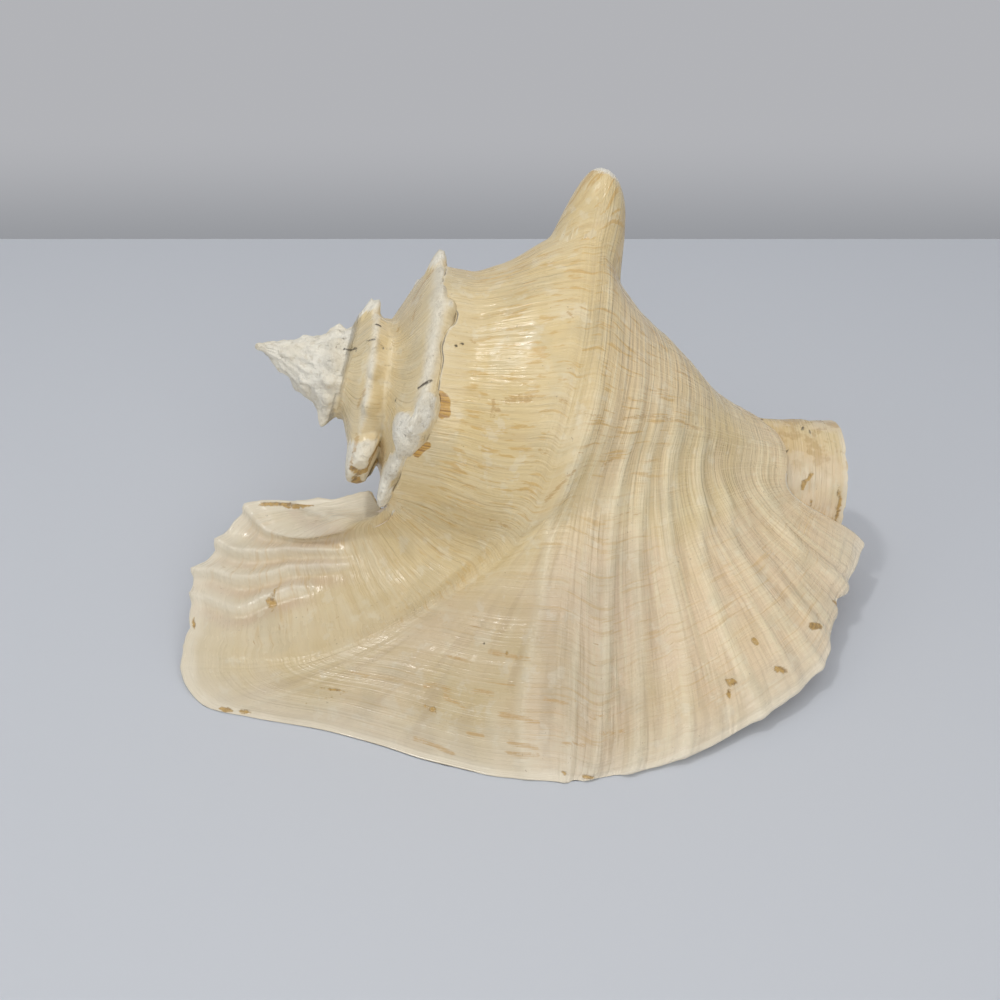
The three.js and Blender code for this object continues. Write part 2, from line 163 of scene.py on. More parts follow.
def outer(u, v):
    u, v = np.broadcast_arrays(np.asarray(u, float), np.asarray(v, float)); d = leave(v)
    return np.where((u <= 0)[..., None], whorl(WS+(d-WS)*(1+np.minimum(u, 0)), v), lip(v, np.clip(u, 0, 1)))
RADIAL = lambda deg: np.cos(np.radians(deg))[..., None]*NX - np.sin(np.radians(deg))[..., None]*np.array([0, 1.0, 0])
SHIFT = np.array([5.664, 21.733, 0.0])
WALL_ROOT, WALL_LIP, WALL_RIM, CANAL_WALL = 5.2, 6.4, 3.4, 4.4
rad = np.radians


def unit(a):
    return a/(np.linalg.norm(a, axis=-1, keepdims=True)+1e-12)


def radial(deg):
    return np.cos(rad(deg))[..., None]*NX-np.sin(rad(deg))[..., None]*np.array([0, 1.0, 0])


def vnoise(p, size, seed=1):
    """smooth 3-D value noise, -1..1"""
    q = np.asarray(p, float)/size+seed*17.31
    i = np.floor(q).astype(np.int64)
    f = q-i
    f = f*f*(3-2*f)

    def h(dx, dy, dz):
        n = (i[..., 0]+dx)*73856093 ^ (i[..., 1]+dy)*19349663 ^ (i[..., 2]+dz)*83492791 ^ seed*374761
        n = (n ^ (n >> 13))*1274126177
        return ((n ^ (n >> 16)) & 0xFFFF)/32767.5-1
    x, y, z = f[..., 0], f[..., 1], f[..., 2]
    a = h(0, 0, 0)*(1-x)+h(1, 0, 0)*x
    b = h(0, 1, 0)*(1-x)+h(1, 1, 0)*x
    c = h(0, 0, 1)*(1-x)+h(1, 0, 1)*x
    d = h(0, 1, 1)*(1-x)+h(1, 1, 1)*x
    return (a*(1-y)+b*y)*(1-z)+(c*(1-y)+d*y)*z


def n1(x, size, seed=1):
    x = np.asarray(x, float)
    return vnoise(np.stack([x, 0*x, 0*x], -1), size, seed)


# edge of the last whorl on the one before it, s over angle, as it wraps round the knobs
EDGE = curve([-150, -90, -40, -12, 5, 12, 17, 21, 25, 29, 33, 41, 47, 59, 62, 74, 79, 84, 89, 101, 107, 116],
             [54.5, 57.6, 60.4, 60.2, 59.3, 58.9, 60.0, 64.2, 66.2, 66.2, 64.4, 63.2, 64.7, 65.6, 67.1, 67.2, 66.9, 63.4, 61.4, 61.9, 61.4, 60.4])
# growth of the shell as a length, so that lines keep their spacing on small whorls too
_t = np.arange(-2542, 400, 4.0)
_g = np.concatenate([[0], np.cumsum(sh_r(_t)[:-1]*rad(4.0))])
growth_len = lambda deg: np.interp(deg, _t, _g)


def body_sr(deg, v):
    """profile of the last whorl with a rounded shoulder"""
    deg, v = np.broadcast_arrays(np.asarray(deg, float), np.asarray(v, float))
    s, r = whorl_sr(deg, v)
    w = np.exp(-((v-VS)/.09)**4)
    ss, rr = 0, 0
    for k, g in ((-2, .12), (-1, .24), (0, .28), (1, .24), (2, .12)):
        a, b = whorl_sr(deg, np.clip(v+k*.020, 0, 1))
        ss, rr = ss+a*g, rr+b*g
    s, r = s+(ss-s)*w, r+(rr-r)*w
    s = s+(EDGE(deg)-su_s(deg))*(1-smooth(0, .16, v))
    r = r-.55*(1-smooth(0, .07, v))
    return s, r


def body(deg, v):
    s, r = body_sr(deg, v)
    return at(s, deg, r)


def chip(v):
    """how far the worn rim has lost material, mm"""
    x = v*420
    c = .45+.45*n1(x, 9, 3)+.42*n1(x, 3.2, 5)+.9*np.clip(n1(x, 14, 9)-.3, 0, 1)+.3*np.clip(n1(x, 1.7, 11), 0, 1)
    c = c+1.0*np.exp(-((v-.325)/.006)**2)+1.3*np.exp(-((v-.64)/.004)**2)+1.5*np.exp(-((v-.9)/.012)**2)
    return np.clip(c, 0, 2.5)


def lip3(v, t, worn=True):
    v, t = np.broadcast_arrays(np.asarray(v, float), np.asarray(t, float))
    d = leave(v)
    p = body(d, v)
    e = rim3(v)
    m = mid3(v)
    chord = np.linalg.norm(e-p, axis=-1)
    T0 = unit(body(d+.5, v)-body(d-.5, v))*(chord*reach(v))[..., None]
    f = fan(v)[..., None]
    T1 = (T0+4*(p+e)-8*m)*f+2*(e-m)*(1-f)
    if worn:
        t = t*(1-chip(v)/chord)
    t = t[..., None]
    t2, t3 = t*t, t*t*t
    return (2*t3-3*t2+1)*p+(t3-2*t2+t)*T0+(-2*t3+3*t2)*e+(t3-t2)*T1


# columns: shared by the last whorl and the lip, closer where the rim is long
vv = np.linspace(0, 1, 2001)
rim_len = np.concatenate([[0], np.cumsum(np.linalg.norm(np.diff(rim3(vv), axis=0), axis=1))])
bod_len = np.concatenate([[0], np.cumsum(np.linalg.norm(np.diff(body(-20.0, vv), axis=0), axis=1))])
boost = np.concatenate([[0], np.cumsum(np.exp(-((vv[1:]-.425)/.05)**2))])
mix = .55*rim_len/rim_len[-1]+.33*bod_len/bod_len[-1]+.12*boost/boost[-1]
NC = 288
cols = np.interp(np.linspace(0, 1, NC+1), mix, vv)
cols2 = cols[::2]

# the lip as a fine grid whose crest rolls over softly
GU = np.linspace(0, 1, 91)
GVI = np.linspace(0, 1, 2*NC+1)
GV = np.interp(GVI, mix, vv)
LG = lip3(GV[None], GU[:, None], False)
LW = ((np.exp(-((GV-.412)/.052)**4)+.8*np.exp(-((GV-.06)/.04)**4))[None]*(smooth(.0, .22, GU)*smooth(1, .95, GU))[:, None])[..., None]
for _ in range(640):
    LG[:, 1:-1] += (LW[:, 1:-1])*(.5*(.5*(LG[:, :-2]+LG[:, 2:])-LG[:, 1:-1]))
    LG[1:-1] += (LW[1:-1])*(.4*(.5*(LG[:-2]+LG[2:])-LG[1:-1]))
CHORD = np.linalg.norm(LG[-1]-LG[0], axis=-1)


def lip_s(v, t, worn=True):
    v, t = np.broadcast_arrays(np.asarray(v, float), np.asarray(t, float))
    j = np.interp(v, GV, np.arange(len(GV)))
    if worn:
        t = t*(1-chip(v)/np.interp(v, GV, CHORD))
    i = t*(len(GU)-1)
    i0 = np.clip(i.astype(int), 0, len(GU)-2)
    j0 = np.clip(j.astype(int), 0, len(GV)-2)
    a, c = (i-i0)[..., None], (j-j0)[..., None]
    return (LG[i0, j0]*(1-a)+LG[i0+1, j0]*a)*(1-c)+(LG[i0, j0+1]*(1-a)+LG[i0+1, j0+1]*a)*c


def outer3(u, v, worn=True):
    u, v = np.broadcast_arrays(np.asarray(u, float), np.asarray(v, float))
    d = leave(v)
    return np.where((u <= 0)[..., None], body(WS+(d-WS)*(1+np.minimum(u, 0)), v), lip_s(v, np.clip(u, 0, 1), worn))


def theta_of(u, v):
    return WS+(leave(v)-WS)*(1+np.minimum(u, 0))


# spines: s, unrolled angle, height, half width along s, half width round, form, lean along s, skirt
SPINES = [
 (109.6, -17.5, 30.9, 14.6, 14.4, 2.8, -1.6, .10),
 (103, -57, 16.5, 11.5, 11.5, 1.5, -3, .08), (97, -97, 17, 12, 11.5, 1.5, -5, .08), (87, -136, 21, 12, 11.5, 1.5, -6, .08), (77, -163, 26.5, 12, 12, 1.6, -5, .08),
 (57.4, -381, 5.2, 3.8, 5.6, 2.5, -.6, .1), (58.6, -345, 2.6, 3.2, 4.5, 2.0, 0, .1), (63.0, -338, 2.8, 3.6, 4.6, 2.0, 0, .1), (59.6, -281, 6.0, 5.6, 8.6, 2.0, -3.4, .1), (63.6, -292, 4.6, 4.8, 9.0, 2.2, -1.6, .1), (58.6, -261, 5.6, 2.5, 14.5, 2.0, -1.8, .05),
 (56, -422, 5.5, 5.5, 6, 1.4, -2.5, .1), (55, -460, 6, 5.5, 6, 1.4, -3, .1), (54, -500, 6.5, 5.5, 6, 1.4, -3, .1), (60, -530, 7, 6, 6, 1.4, -4, .1), (68, -200, 10, 7, 8, 1.5, -4, .1),
 (38.8, -741, 5.2, 2.9, 4.6, 2.6, .3, .12), (35.4, -745, 4.4, 2.5, 4.2, 2.6, -.6, .12), (41.5, -684, 2.2, 2.4, 3.4, 1.8, 0, .1), (44.0, -664, 2.2, 2.4, 3.2, 2.0, -.4, .1), (49.8, -602, 11.0, 8.4, 9.6, 3.6, -1.6, .12),
 (38, -782, 4.6, 3.4, 4, 1.5, -1, .1), (37.5, -822, 4.8, 3.4, 4, 1.5, -1.5, .1), (37, -862, 5, 3.4, 4, 1.5, -1.5, .1), (47, -542, 5, 5, 6, 1.5, -3, .1), (46.0, -640, 2.4, 3.4, 4.2, 1.8, -1.2, .1),
 (58.7, -246, 11.5, 3.1, 8.5, 1.5, -1.5, .04),
]


def spine_shift(s, deg, r, only=None):
    """how far the spines and beads move a point: vector, height"""
    out = np.zeros(np.shape(s)+(3,))
    hh = np.zeros(np.shape(s))
    er = radial(deg)
    for n, (s0, d0, H, ws, wd, p, lean, sk) in enumerate(SPINES):
        if only is not None and n not in only:
            continue
        x = (s-s0+(.13*rad(deg-d0)*r if n == 10 else 0))/ws
        y = rad(deg-d0)*r/wd
        rho = np.sqrt(x*x+y*y)
        h = H*np.clip(1-rho**p, 0, None)**(1.0 if p > 1.7 else 1.25)
        h = h+H*sk*np.exp(-(rho/1.12)**3)*smooth(0, 1, rho)*1.5
        if n == 0:
            # ridge that runs down its front, and the concave skirt on the spire side
            ymm = rad(deg-d0)*r
            xmm = s-s0
            front = 19*np.clip(1-ymm/44, 0, 1)**1.8*smooth(-16, 2, ymm)*np.exp(-((xmm+1)/(9.5+.10*np.clip(ymm, 0, 44)))**2)
            left = 4.2*np.exp(-((xmm+15)/8.5)**2)*np.exp(-(ymm/17)**2)
            h = (h**3+front**3)**(1/3)+left*(1-np.clip(h/H, 0, 1))
        out += h[..., None]*er+(lean*(np.clip(h/H, 0, 1)**2))[..., None]*AX
        hh = np.maximum(hh, h)
    m = (deg < -790) & (deg > -2400)
    if m.any():
        sz = np.clip(r, .5, 14)
        ph = (deg+6*np.sin(deg/37.0))/23.5
        b = .5+.5*np.cos(2*np.pi*ph)
        am = .8+.35*np.sin(deg/61.0)
        ss = (s-sh_s(deg)+.05*sz)/(.17*sz+.7)
        h = np.where(m, .115*sz*am*b**1.3*np.exp(-ss*ss), 0)
        out += h[..., None]*er-(.3*h)[..., None]*AX
        hh = np.maximum(hh, h)
    return out, hh


def whorl_r(deg, s):
    s0, s1, s2 = su_s(deg), sh_s(deg), ba_s(deg)
    t = np.clip((s-s0)/(s1-s0), 0, 1)
    k = smooth(-560, -900, deg)
    rp = ramp(t)*(1-k)+(.15*ramp(t)+.85*t)*k
    r = np.where(s <= s1, su_r(deg)+(sh_r(deg)-su_r(deg))*rp, sh_r(deg)*base(np.clip((s-s1)/(s2-s1), 0, 1)))
    r = np.where(s > s2, sh_r(deg)*BASE_R[-1]*(1-.5*smooth(0, 40, s-s2)), r)
    return np.where((s < s0) | (deg < TURN[0]), 0, r)


foot_rows = [curve(FOOT_ANGLE, r) for r in FOOT_R]


def foot_r(s, deg):
    s, deg = np.broadcast_arrays(np.asarray(s, float), np.asarray(deg, float))
    R = np.stack([f(deg) for f in foot_rows], 0)
    fs = np.array(FOOT_S, float)
    i = np.clip(np.searchsorted(fs, s)-1, 0, len(fs)-2)
    t = np.clip((s-fs[i])/(fs[i+1]-fs[i]), 0, 1)
    a = np.take_along_axis(R, i[None], 0)[0]
    b = np.take_along_axis(R, (i+1)[None], 0)[0]
    return np.where(s < fs[0], R[0]*np.clip((s-10)/90, 0, 1), a*(1-t)+b*t)


def core(s, deg, cav0=-10.0, cav1=34.0, recess=1.3):
    """radius, unrolled angle and share of the closed last whorl; deg in -180..180"""
    s, deg = np.broadcast_arrays(np.asarray(s, float), np.asarray(deg, float))
    r = foot_r(s, deg)
    k_of = np.zeros(s.shape, int)
    for k in range(1, 7):
        w = whorl_r(deg-360*k, s)
        m = w > r
        r = np.where(m, w, r)
        k_of = np.where(m, k, k_of)
    full = whorl_r(deg, s)-recess*smooth(-150, -144, deg)
    w = 1-smooth(cav0, cav1, deg)
    m = (full > r) & (w > 0)
    last = np.where(m, w, 0)
    r = np.where(m, r+(full-r)*w, r)
    k_of = np.where(m & (w > .5), 0, k_of)
    return r, deg-360*k_of, last


def wall(u, v):
    w = np.where(u < .45, WALL_ROOT+(WALL_LIP-WALL_ROOT)*smooth(-.4, .45, u), WALL_LIP+(WALL_RIM-WALL_LIP)*smooth(.45, 1, u))
    return w*(.55+.45*smooth(0, .08, v))*(.7+.3*smooth(1, .93, v))


def outer_normal(u, v):
    e = .01
    g = .012+.02*smooth(.34, .4, v)*smooth(.5, .44, v)
    a = outer3(np.minimum(u+e, 1), v, False)-outer3(np.maximum(u-e, -1), v, False)
    b = outer3(u, np.minimum(v+g, 1), False)-outer3(u, np.maximum(v-g, 0), False)
    return unit(np.cross(a, b))


def grid_normals(P):
    return unit(np.cross(np.gradient(P, axis=0), np.gradient(P, axis=1)))


def seg_dist(P, pts, reach_mm):
    """distance of each point of P to a 3-D polyline, share along it, and the vector to it; far points get reach_mm"""
    shape = P.shape[:-1]
    Q = P.reshape(-1, 3)
    lo, hi = pts.min(0)-reach_mm, pts.max(0)+reach_mm
    idx = np.nonzero(((Q > lo) & (Q < hi)).all(1))[0]
    D = np.full(len(Q), float(reach_mm))
    T = np.zeros(len(Q))
    V = np.zeros((len(Q), 3))
    if len(idx):
        q = Q[idx]
        best = np.full(len(idx), float(reach_mm))
        bt = np.zeros(len(idx))
        bv = np.zeros((len(idx), 3))
        L = np.concatenate([[0], np.cumsum(np.linalg.norm(np.diff(pts, axis=0), axis=1))])
        for k in range(len(pts)-1):
            a, b = pts[k], pts[k+1]
            ab = b-a
            t = np.clip(((q-a)@ab)/(ab@ab+1e-12), 0, 1)
            w = q-(a+t[:, None]*ab)
            d = np.sqrt((w*w).sum(1))
            m = d < best
            best[m] = d[m]
            bt[m] = (L[k]+t[m]*(L[k+1]-L[k]))/max(L[-1], 1e-9)
            bv[m] = w[m]
        D[idx], T[idx], V[idx] = best, bt, bv
    return D.reshape(shape), T.reshape(shape), V.reshape(shape+(3,))


def dense(uv, step=.02):
    uv = np.asarray(uv, float)
    if len(uv) == 1:
        uv = np.concatenate([uv, uv+[.0015, .0004]])
    d = np.concatenate([[0], np.cumsum(np.hypot(*np.diff(uv, axis=0).T))])
    x = np.linspace(0, d[-1], max(2, int(d[-1]/step)+2))
    return np.stack([np.interp(x, d, uv[:, 0]), np.interp(x, d, uv[:, 1])], -1)


# cords of the last whorl and the lip: height, half width, (u, v) path
CORDS = [
 (1.2, 2.8, [(-.24, .447), (-.119, .462), (.022, .450), (.216, .469), (.39, .475), (.744, .475), (.97, .477)]),
 (.9, 2.4, [(-.2, .493), (-.132, .505), (-.041, .512), (.064, .515), (.186, .517), (.426, .507), (.804, .501), (.98, .5)]),
 (1.2, 2.9, [(-.21, .56), (-.041, .563), (.096, .566), (.31, .565), (.594, .55), (.8, .536), (.98, .53)]),
 (1.15, 2.7, [(-.18, .6), (-.096, .625), (.084, .62), (.386, .607), (.83, .594), (.99, .59)]),
 (1.2, 3.0, [(-.15, .66), (.018, .676), (.334, .658), (.664, .649), (.906, .643), (1, .642)]),
 (1.19, 3.0, [(-.12, .74), (.006, .752), (.21, .742), (.4, .707), (.614, .697), (.85, .705), (1, .71)]),
 (1.15, 2.8, [(.05, .82), (.224, .804), (.396, .77), (.566, .762), (.964, .771), (1, .772)]),
 (1.19, 3.2, [(.03, .931), (.326, .917), (.564, .866), (1, .893)]),
 (.4, 2.2, [(.55, .461), (.676, .455), (.916, .45)]),
 (.5, 2.6, [(.5, .735), (.75, .74), (.96, .745)]),
 (.5, 2.4, [(.5, .83), (.75, .835), (.97, .84)]),
 (3.7, 2.5, [(1.0, .125), (.96, .123), (.822, .127), (.724, .116), (.598, .087), (.45, .07)]),
 (4.0, 2.6, [(1, .183), (.92, .18), (.82, .169), (.704, .153), (.582, .148), (.42, .15)]),
 (3.7, 2.7, [(1, .243), (.946, .224), (.854, .224), (.782, .21), (.694, .188), (.58, .185), (.42, .19)]),
 (2.6, 2.7, [(.99, .285), (.938, .276), (.844, .279), (.776, .255), (.68, .23), (.56, .225)]),
 (1.5, 2.2, [(1, .075), (.9, .07), (.75, .055), (.6, .035)]),
]
GROOVES = [
 (.45, 1.8, [(.2, .63), (.32, .63), (.5, .622), (.66, .619), (.9, .616)]),
 (.45, 1.8, [(.2, .7), (.324, .691), (.486, .67), (.758, .667), (.95, .67)]),
 (.4, 1.8, [(.2, .77), (.36, .746), (.488, .731), (.932, .73)]),
 (.4, 1.8, [(.3, .79), (.466, .781), (.74, .79)]),
 (.5, 2.0, [(.2, .87), (.45, .82), (.7, .805), (.95, .81)]),
]


FOLDS = []


def cords(P, N):
    h = np.zeros(P.shape[:-1])
    fr, fv = np.zeros(h.shape), np.zeros(h.shape)
    across = unit(np.gradient(P, axis=1))
    for height, w, path in CORDS:
        uv = dense(path)
        d, t, off = seg_dist(P, outer3(uv[:, 0], uv[:, 1]), 4*w)
        if height > 1.2:
            # folds of the posterior wing are steeper towards the crest
            side = np.einsum("...k,...k->...", off, across)
            low = np.exp(-((d-1.9*w)/(1.0*w))**2)*(side > 0)
            d = np.where(side > 0, d*2.1, d*.62)
        end = smooth(0, .18, t)*(1 if path[-1][0] > .95 or path[0][0] > .95 else smooth(1, .82, t))
        if path[0][0] > .95:
            end = smooth(1, .7, t)
        h = h+height*np.exp(-(d/w)**2)*end*(d < 3.1*w)
        # crest and lower side of each wing fold, kept for the colour: pale crests partly painted light, darker lower
        # sides partly painted shade
        if height > 1.2:
            fr, fv = np.maximum(fr, np.exp(-(d/(1.1*w))**2)*end), np.maximum(fv, low*end)
    for depth, w, path in GROOVES:
        uv = dense(path)
        d, t, _ = seg_dist(P, outer3(uv[:, 0], uv[:, 1]), 4*w)
        h = h-depth*np.exp(-(d/w)**2)*smooth(0, .15, t)*smooth(1, .85, t)*(d < 3.9*w)
    FOLDS.append((fr, fv))
    return h


# marks: (u, v) strokes with half width in mm
MARKS = {
 "m_brown": [
  (.40, [(.54, .468), (.552, .4683)]), (.45, [(.76, .4565), (.772, .4575)]), (.35, [(.43, .448), (.432, .452)]), (.45, [(.764, .4545), (.768, .4567), (.782, .458)]),
  (.28, [(.777, .4261), (.769, .4307), (.781, .4359)]), (.22, [(.866, .4319), (.833, .4335), (.786, .4353)]),
  (.95, [(.806, .6843), (.826, .6848)]), (.9, [(.763, .6852), (.787, .6913)]), (1.15, [(.842, .7322), (.868, .7365)]), (1.0, [(.70, .7235), (.718, .7252)]), (1.45, [(.80, .788), (.842, .7971)]), (1.0, [(.86, .842), (.93, .850)]), (.5, [(.79, .866), (.80, .869)]),
  (.3, [(.716, .829), (.76, .82), (.804, .808)]),
  (.75, [(.729, .2308), (.742, .2518)]), (.8, [(.753, .2553), (.749, .2645), (.736, .2575)]), (.5, [(.755, .2711), (.746, .2636)]), (.4, [(.93, .211), (.914, .2052)]),
  (.55, [(.990, .3125), (.987, .3197)]), (.4, [(.984, .3257), (.982, .3297)]), (.7, [(.986, .4175), (.980, .4215)]), (.6, [(.976, .4235), (.974, .4262)]), (.7, [(.962, .5265), (.972, .5408)]), (.5, [(.95, .49), (.955, .497)]),
  (.8, [(.992, .104), (.986, .0864), (.975, .0739), (.992, .0657)]), (.5, [(.96, .085), (.955, .072)]),
 ],
 "m_dark": [
  (.35, [(.514, .4593), (.52, .4599)]), (.45, [(-.274, .043), (-.2735, .0445)]), (.5, [(-.278, .06), (-.2775, .0615)]), (.3, [(.70, .722), (.703, .7225)]), (.3, [(.79, .866), (.792, .8665)]), (.35, [(.407, .364), (.403, .372)]),
 ],
 "m_amber": [
  (1.2, [(-.198, .002), (-.18, .010), (-.168, .016)]), (1.15, [(-.196, .020), (-.18, .030), (-.170, .036)]), (1.2, [(-.118, .012), (-.106, .018), (-.097, .022)]),
 ],
 "m_tan": [
  (.5, [(-.198, .185), (-.184, .189), (-.176, .192)]),
  (.55, [(.688, .4508), (.673, .4539), (.685, .4579)]), (.5, [(.674, .4633), (.668, .4656), (.678, .4683)]), (.65, [(.739, .4709), (.746, .4744), (.761, .479)]), (.6, [(.908, .4564), (.913, .4598), (.933, .464)]), (.6, [(.84, .4736), (.847, .4761), (.853, .4789)]), (.45, [(.828, .4655), (.828, .4682)]),
  (.7, [(.542, .463), (.554, .4684), (.566, .475)]), (.35, [(.635, .4647), (.635, .4693), (.642, .4724)]), (.4, [(.566, .4502), (.575, .455), (.581, .4594)]), (.6, [(.881, .4733), (.887, .4756), (.881, .4794)]), (.45, [(.686, .4801), (.695, .4876), (.681, .5044)]), (.4, [(.7, .526), (.701, .5595)]),
  (.4, [(.712, .4574), (.721, .4607), (.739, .4634)]), (.35, [(.686, .4289), (.693, .4348)]), (.45, [(.752, .5436), (.776, .5772)]), (.4, [(.832, .4887), (.804, .5208)]),
  (.6, [(-.198, .218), (-.2, .25), (-.2, .289)]), (.5, [(-.185, .197), (-.185, .207)]), (.4, [(-.202, .2295), (-.206, .30)]),
  (.3, [(-.066, .527), (-.06, .6), (-.048, .74)]), (.35, [(-.286, .086), (-.283, .1)]), (.35, [(.006, .514), (.008, .54)]), (.4, [(-.195, .375), (-.192, .392)]), (.4, [(-.134, .361), (-.13, .38)]), (.35, [(-.306, .3703), (-.316, .350)]), (.35, [(-.023, .3031), (-.017, .3687)]), (.4, [(-.052, .4188), (-.048, .455)]), (.3, [(-.133, .4436), (-.10, .476)]), (.3, [(.192, .556), (.213, .6148)]), (.3, [(-.175, .6564), (-.18, .70)]),
 ],
 "m_white": [
  
 ],
}


def marks(P, kind):
    out = np.full(P.shape[:-1], 8.0)
    for w, path in MARKS[kind]:
        uv = dense(path, .01)
        d, t, _ = seg_dist(P, outer3(uv[:, 0], uv[:, 1]), 8)
        out = np.minimum(out, d-w)
    return out


# ---------------------------------------------------------------- sheets
class Soup:
    """collects sheets of the one shell: vertices, faces, map corners, attributes"""
    NAMES = ("gr", "cr", "m_brown", "m_dark", "m_amber", "m_tan", "m_white", "m_crack", "chalk", "inner", "rim", "pink", "olive", "worn", "tipm", "yel", "rdg", "fr", "fv", "wing", "shade", "warm", "calm")

    def __init__(self):
        self.v, self.f, self.uv, self.n = [], [], [], 0
        self.a = {k: [] for k in self.NAMES}

    def add(self, P, faces, uv, **attr):
        P = np.asarray(P, float).reshape(-1, 3)
        self.v.append(P)
        self.uv.append(np.asarray(uv, float).reshape(-1, 2))
        self.f.extend([tuple(int(i)+self.n for i in f) for f in faces])
        for k in self.NAMES:
            x = attr.get(k, 8.0 if k.startswith("m_") else 0.0)
            self.a[k].append(np.broadcast_to(np.asarray(x, float).reshape(-1) if np.ndim(x) else x, (len(P),)).astype(np.float32))
        self.n += len(P)


def quads(n, m, keep=None):
    i, j = np.meshgrid(np.arange(n-1), np.arange(m-1), indexing="ij")
    q = np.stack([i*m+j, (i+1)*m+j, (i+1)*m+j+1, i*m+j+1], -1).reshape(-1, 4)
    if keep is not None:
        q = q[keep.reshape(-1)]
    return q.tolist()


def zipper(ids_a, ta, ids_b, tb):
    """triangles between two open rows of vertices"""
    i = j = 0
    out = []
    while i < len(ids_a)-1 or j < len(ids_b)-1:
        if j == len(ids_b)-1 or (i < len(ids_a)-1 and ta[i+1] <= tb[j+1]):
            out.append((ids_a[i], ids_a[i+1], ids_b[j]))
            i += 1
        else:
            out.append((ids_a[i], ids_b[j+1], ids_b[j]))
            j += 1
    return out


def rect(x0, y0, x1, y1):
    return lambda a, b: np.stack(np.broadcast_arrays(x0+(x1-x0)*np.asarray(a, float), y0+(y1-y0)*np.asarray(b, float)), -1)


soup = Soup()

RIM_MM = rim_len[-1]


def growth(u, v):
    """growth coordinate in mm, the lines of equal value lie as on the shell"""
    c = 0
    for k, q in ((-3, .05), (-2, .11), (-1, .20), (0, .28), (1, .20), (2, .11), (3, .05)):
        c = c+q*np.interp(v+k*.014, [0, .385, .41, .437, .478, .52, .56, .65, .75, .87, 1], [0, 0, 2, 7, 16, 21, 23, 24, 23, 18, 12])
    w = smooth(-.58, -.10, u)*smooth(1.0, .10, u)
    g = np.where(u < 0, 180*(1+u), 180+75*u)
    return g-c*w


RIDGE = []


def wall_height(P, N, u, v):
    """relief of the last whorl and lip along the normal, mm"""
    g = growth(u, v)
    x = v*160
    h = cords(P, N)
    # many low cords along the whorl, wider apart on the flared lip
    kc = smooth(.41, .50, v)+.35*smooth(.10, .2, v)*smooth(.42, .3, v)
    fc = kc*(.55+.65*smooth(-.1, .6, u))*(.42*vnoise(np.stack([x, g*.018, 0*g+5], -1), 2.9, 71)+.30*vnoise(np.stack([x, g*.026, 0*g+9], -1), 1.75, 72))
    RIDGE.append(h+fc)
    h = h+fc
    # uneven growth: low waves along the growth direction
    h = h+.22*vnoise(np.stack([g, x*.10, 0*g], -1), 5.5, 3)+.14*vnoise(np.stack([g, x*.16, 0*g], -1), 2.4, 4)+.3*vnoise(np.stack([g, x*.3, 0*g], -1), 16, 6)
    # slight dents
    h = h+.25*vnoise(P, 14, 8)
    # broad folds of the lip towards its rim
    k = smooth(.35, 1, u)*smooth(.47, .52, v)
    h = h+k*.45*np.sin(v*2*np.pi*17+1.1*np.sin(v*23))
    # last growth steps near the rim
    rim_mm = (1-u)*75
    for d, a in ((3.0, .45), (7.5, .35), (14, .25)):
        y = rim_mm-d-1.2*n1(x*2.6, 13, int(d)+2)
        h = h-a*smooth(1.6, 0, y)*smooth(-6, 0, y)*(u > .5)
    return h


def shell_wall(u, v, h_extra=0):
    s, r = body_sr(theta_of(u, v), v)
    P = outer3(u, v)
    N = grid_normals(P)
    H = wall_height(P, N, u, v)
    sp, hh = spine_shift(s, theta_of(u, v), r, only=range(0, 5))
    on = smooth(.25, 0, u)
    edge = smooth(0, .05, v)*smooth(1, .96, v)
    # the lip leaves the whorl in a shallow trough
    fill = 4.5*np.exp(-((u-.03)/np.where(u < .03, .13, .20))**2-((v-.420)/.050)**2)
    P2 = P+sp*on[..., None]+(N*(H*(.15+.85*edge))[..., None])+fill[..., None]*radial(leave(v))
    return P2, P, N, hh*on, H


# last whorl, from under the previous turn to where the lip leaves
th_rows = np.concatenate([np.arange(-150, -52, 2.6), np.arange(-52, -34, 1.35)])
u_body = np.concatenate([-1+(th_rows+150)/(80+150), np.linspace(-1+(-34+150)/(80+150), 0, 108)])
uB, vB = np.meshgrid(u_body, cols2, indexing="ij")
P2, P0, N0, hB, _ = shell_wall(uB, vB)
thB = theta_of(uB, vB)
er = radial(thB)
tuck = 1.1*(1-smooth(-150, -144, thB))
tuck = tuck+1.2*smooth(.955, 1, vB)*(1-smooth(-20, 25, thB))
P2 = P2-er*tuck[..., None]
# lip rows
NL = 76
u_lip = np.linspace(0, 1, NL)
uL, vL = np.meshgrid(u_lip, cols, indexing="ij")
Q2, Q0, M0, hL, _ = shell_wall(uL, vL)
# the shared row is the same on both
Q2[0, ::2] = P2[-1]
Q2[0, 1::2] = .5*(P2[-1][:-1]+P2[-1][1:])


def mark_attrs(P):
    return {k: marks(P, k) for k in MARKS}


def pinkness(u, v):
    return smooth(-.35, .75, u+.9*(v-.5)+.35)*smooth(.3, .55, v)


def crest(u, v):
    return .8*np.exp(-((v-.432)/.022)**2)*smooth(-.3, -.1, u)*smooth(.62, .4, u)


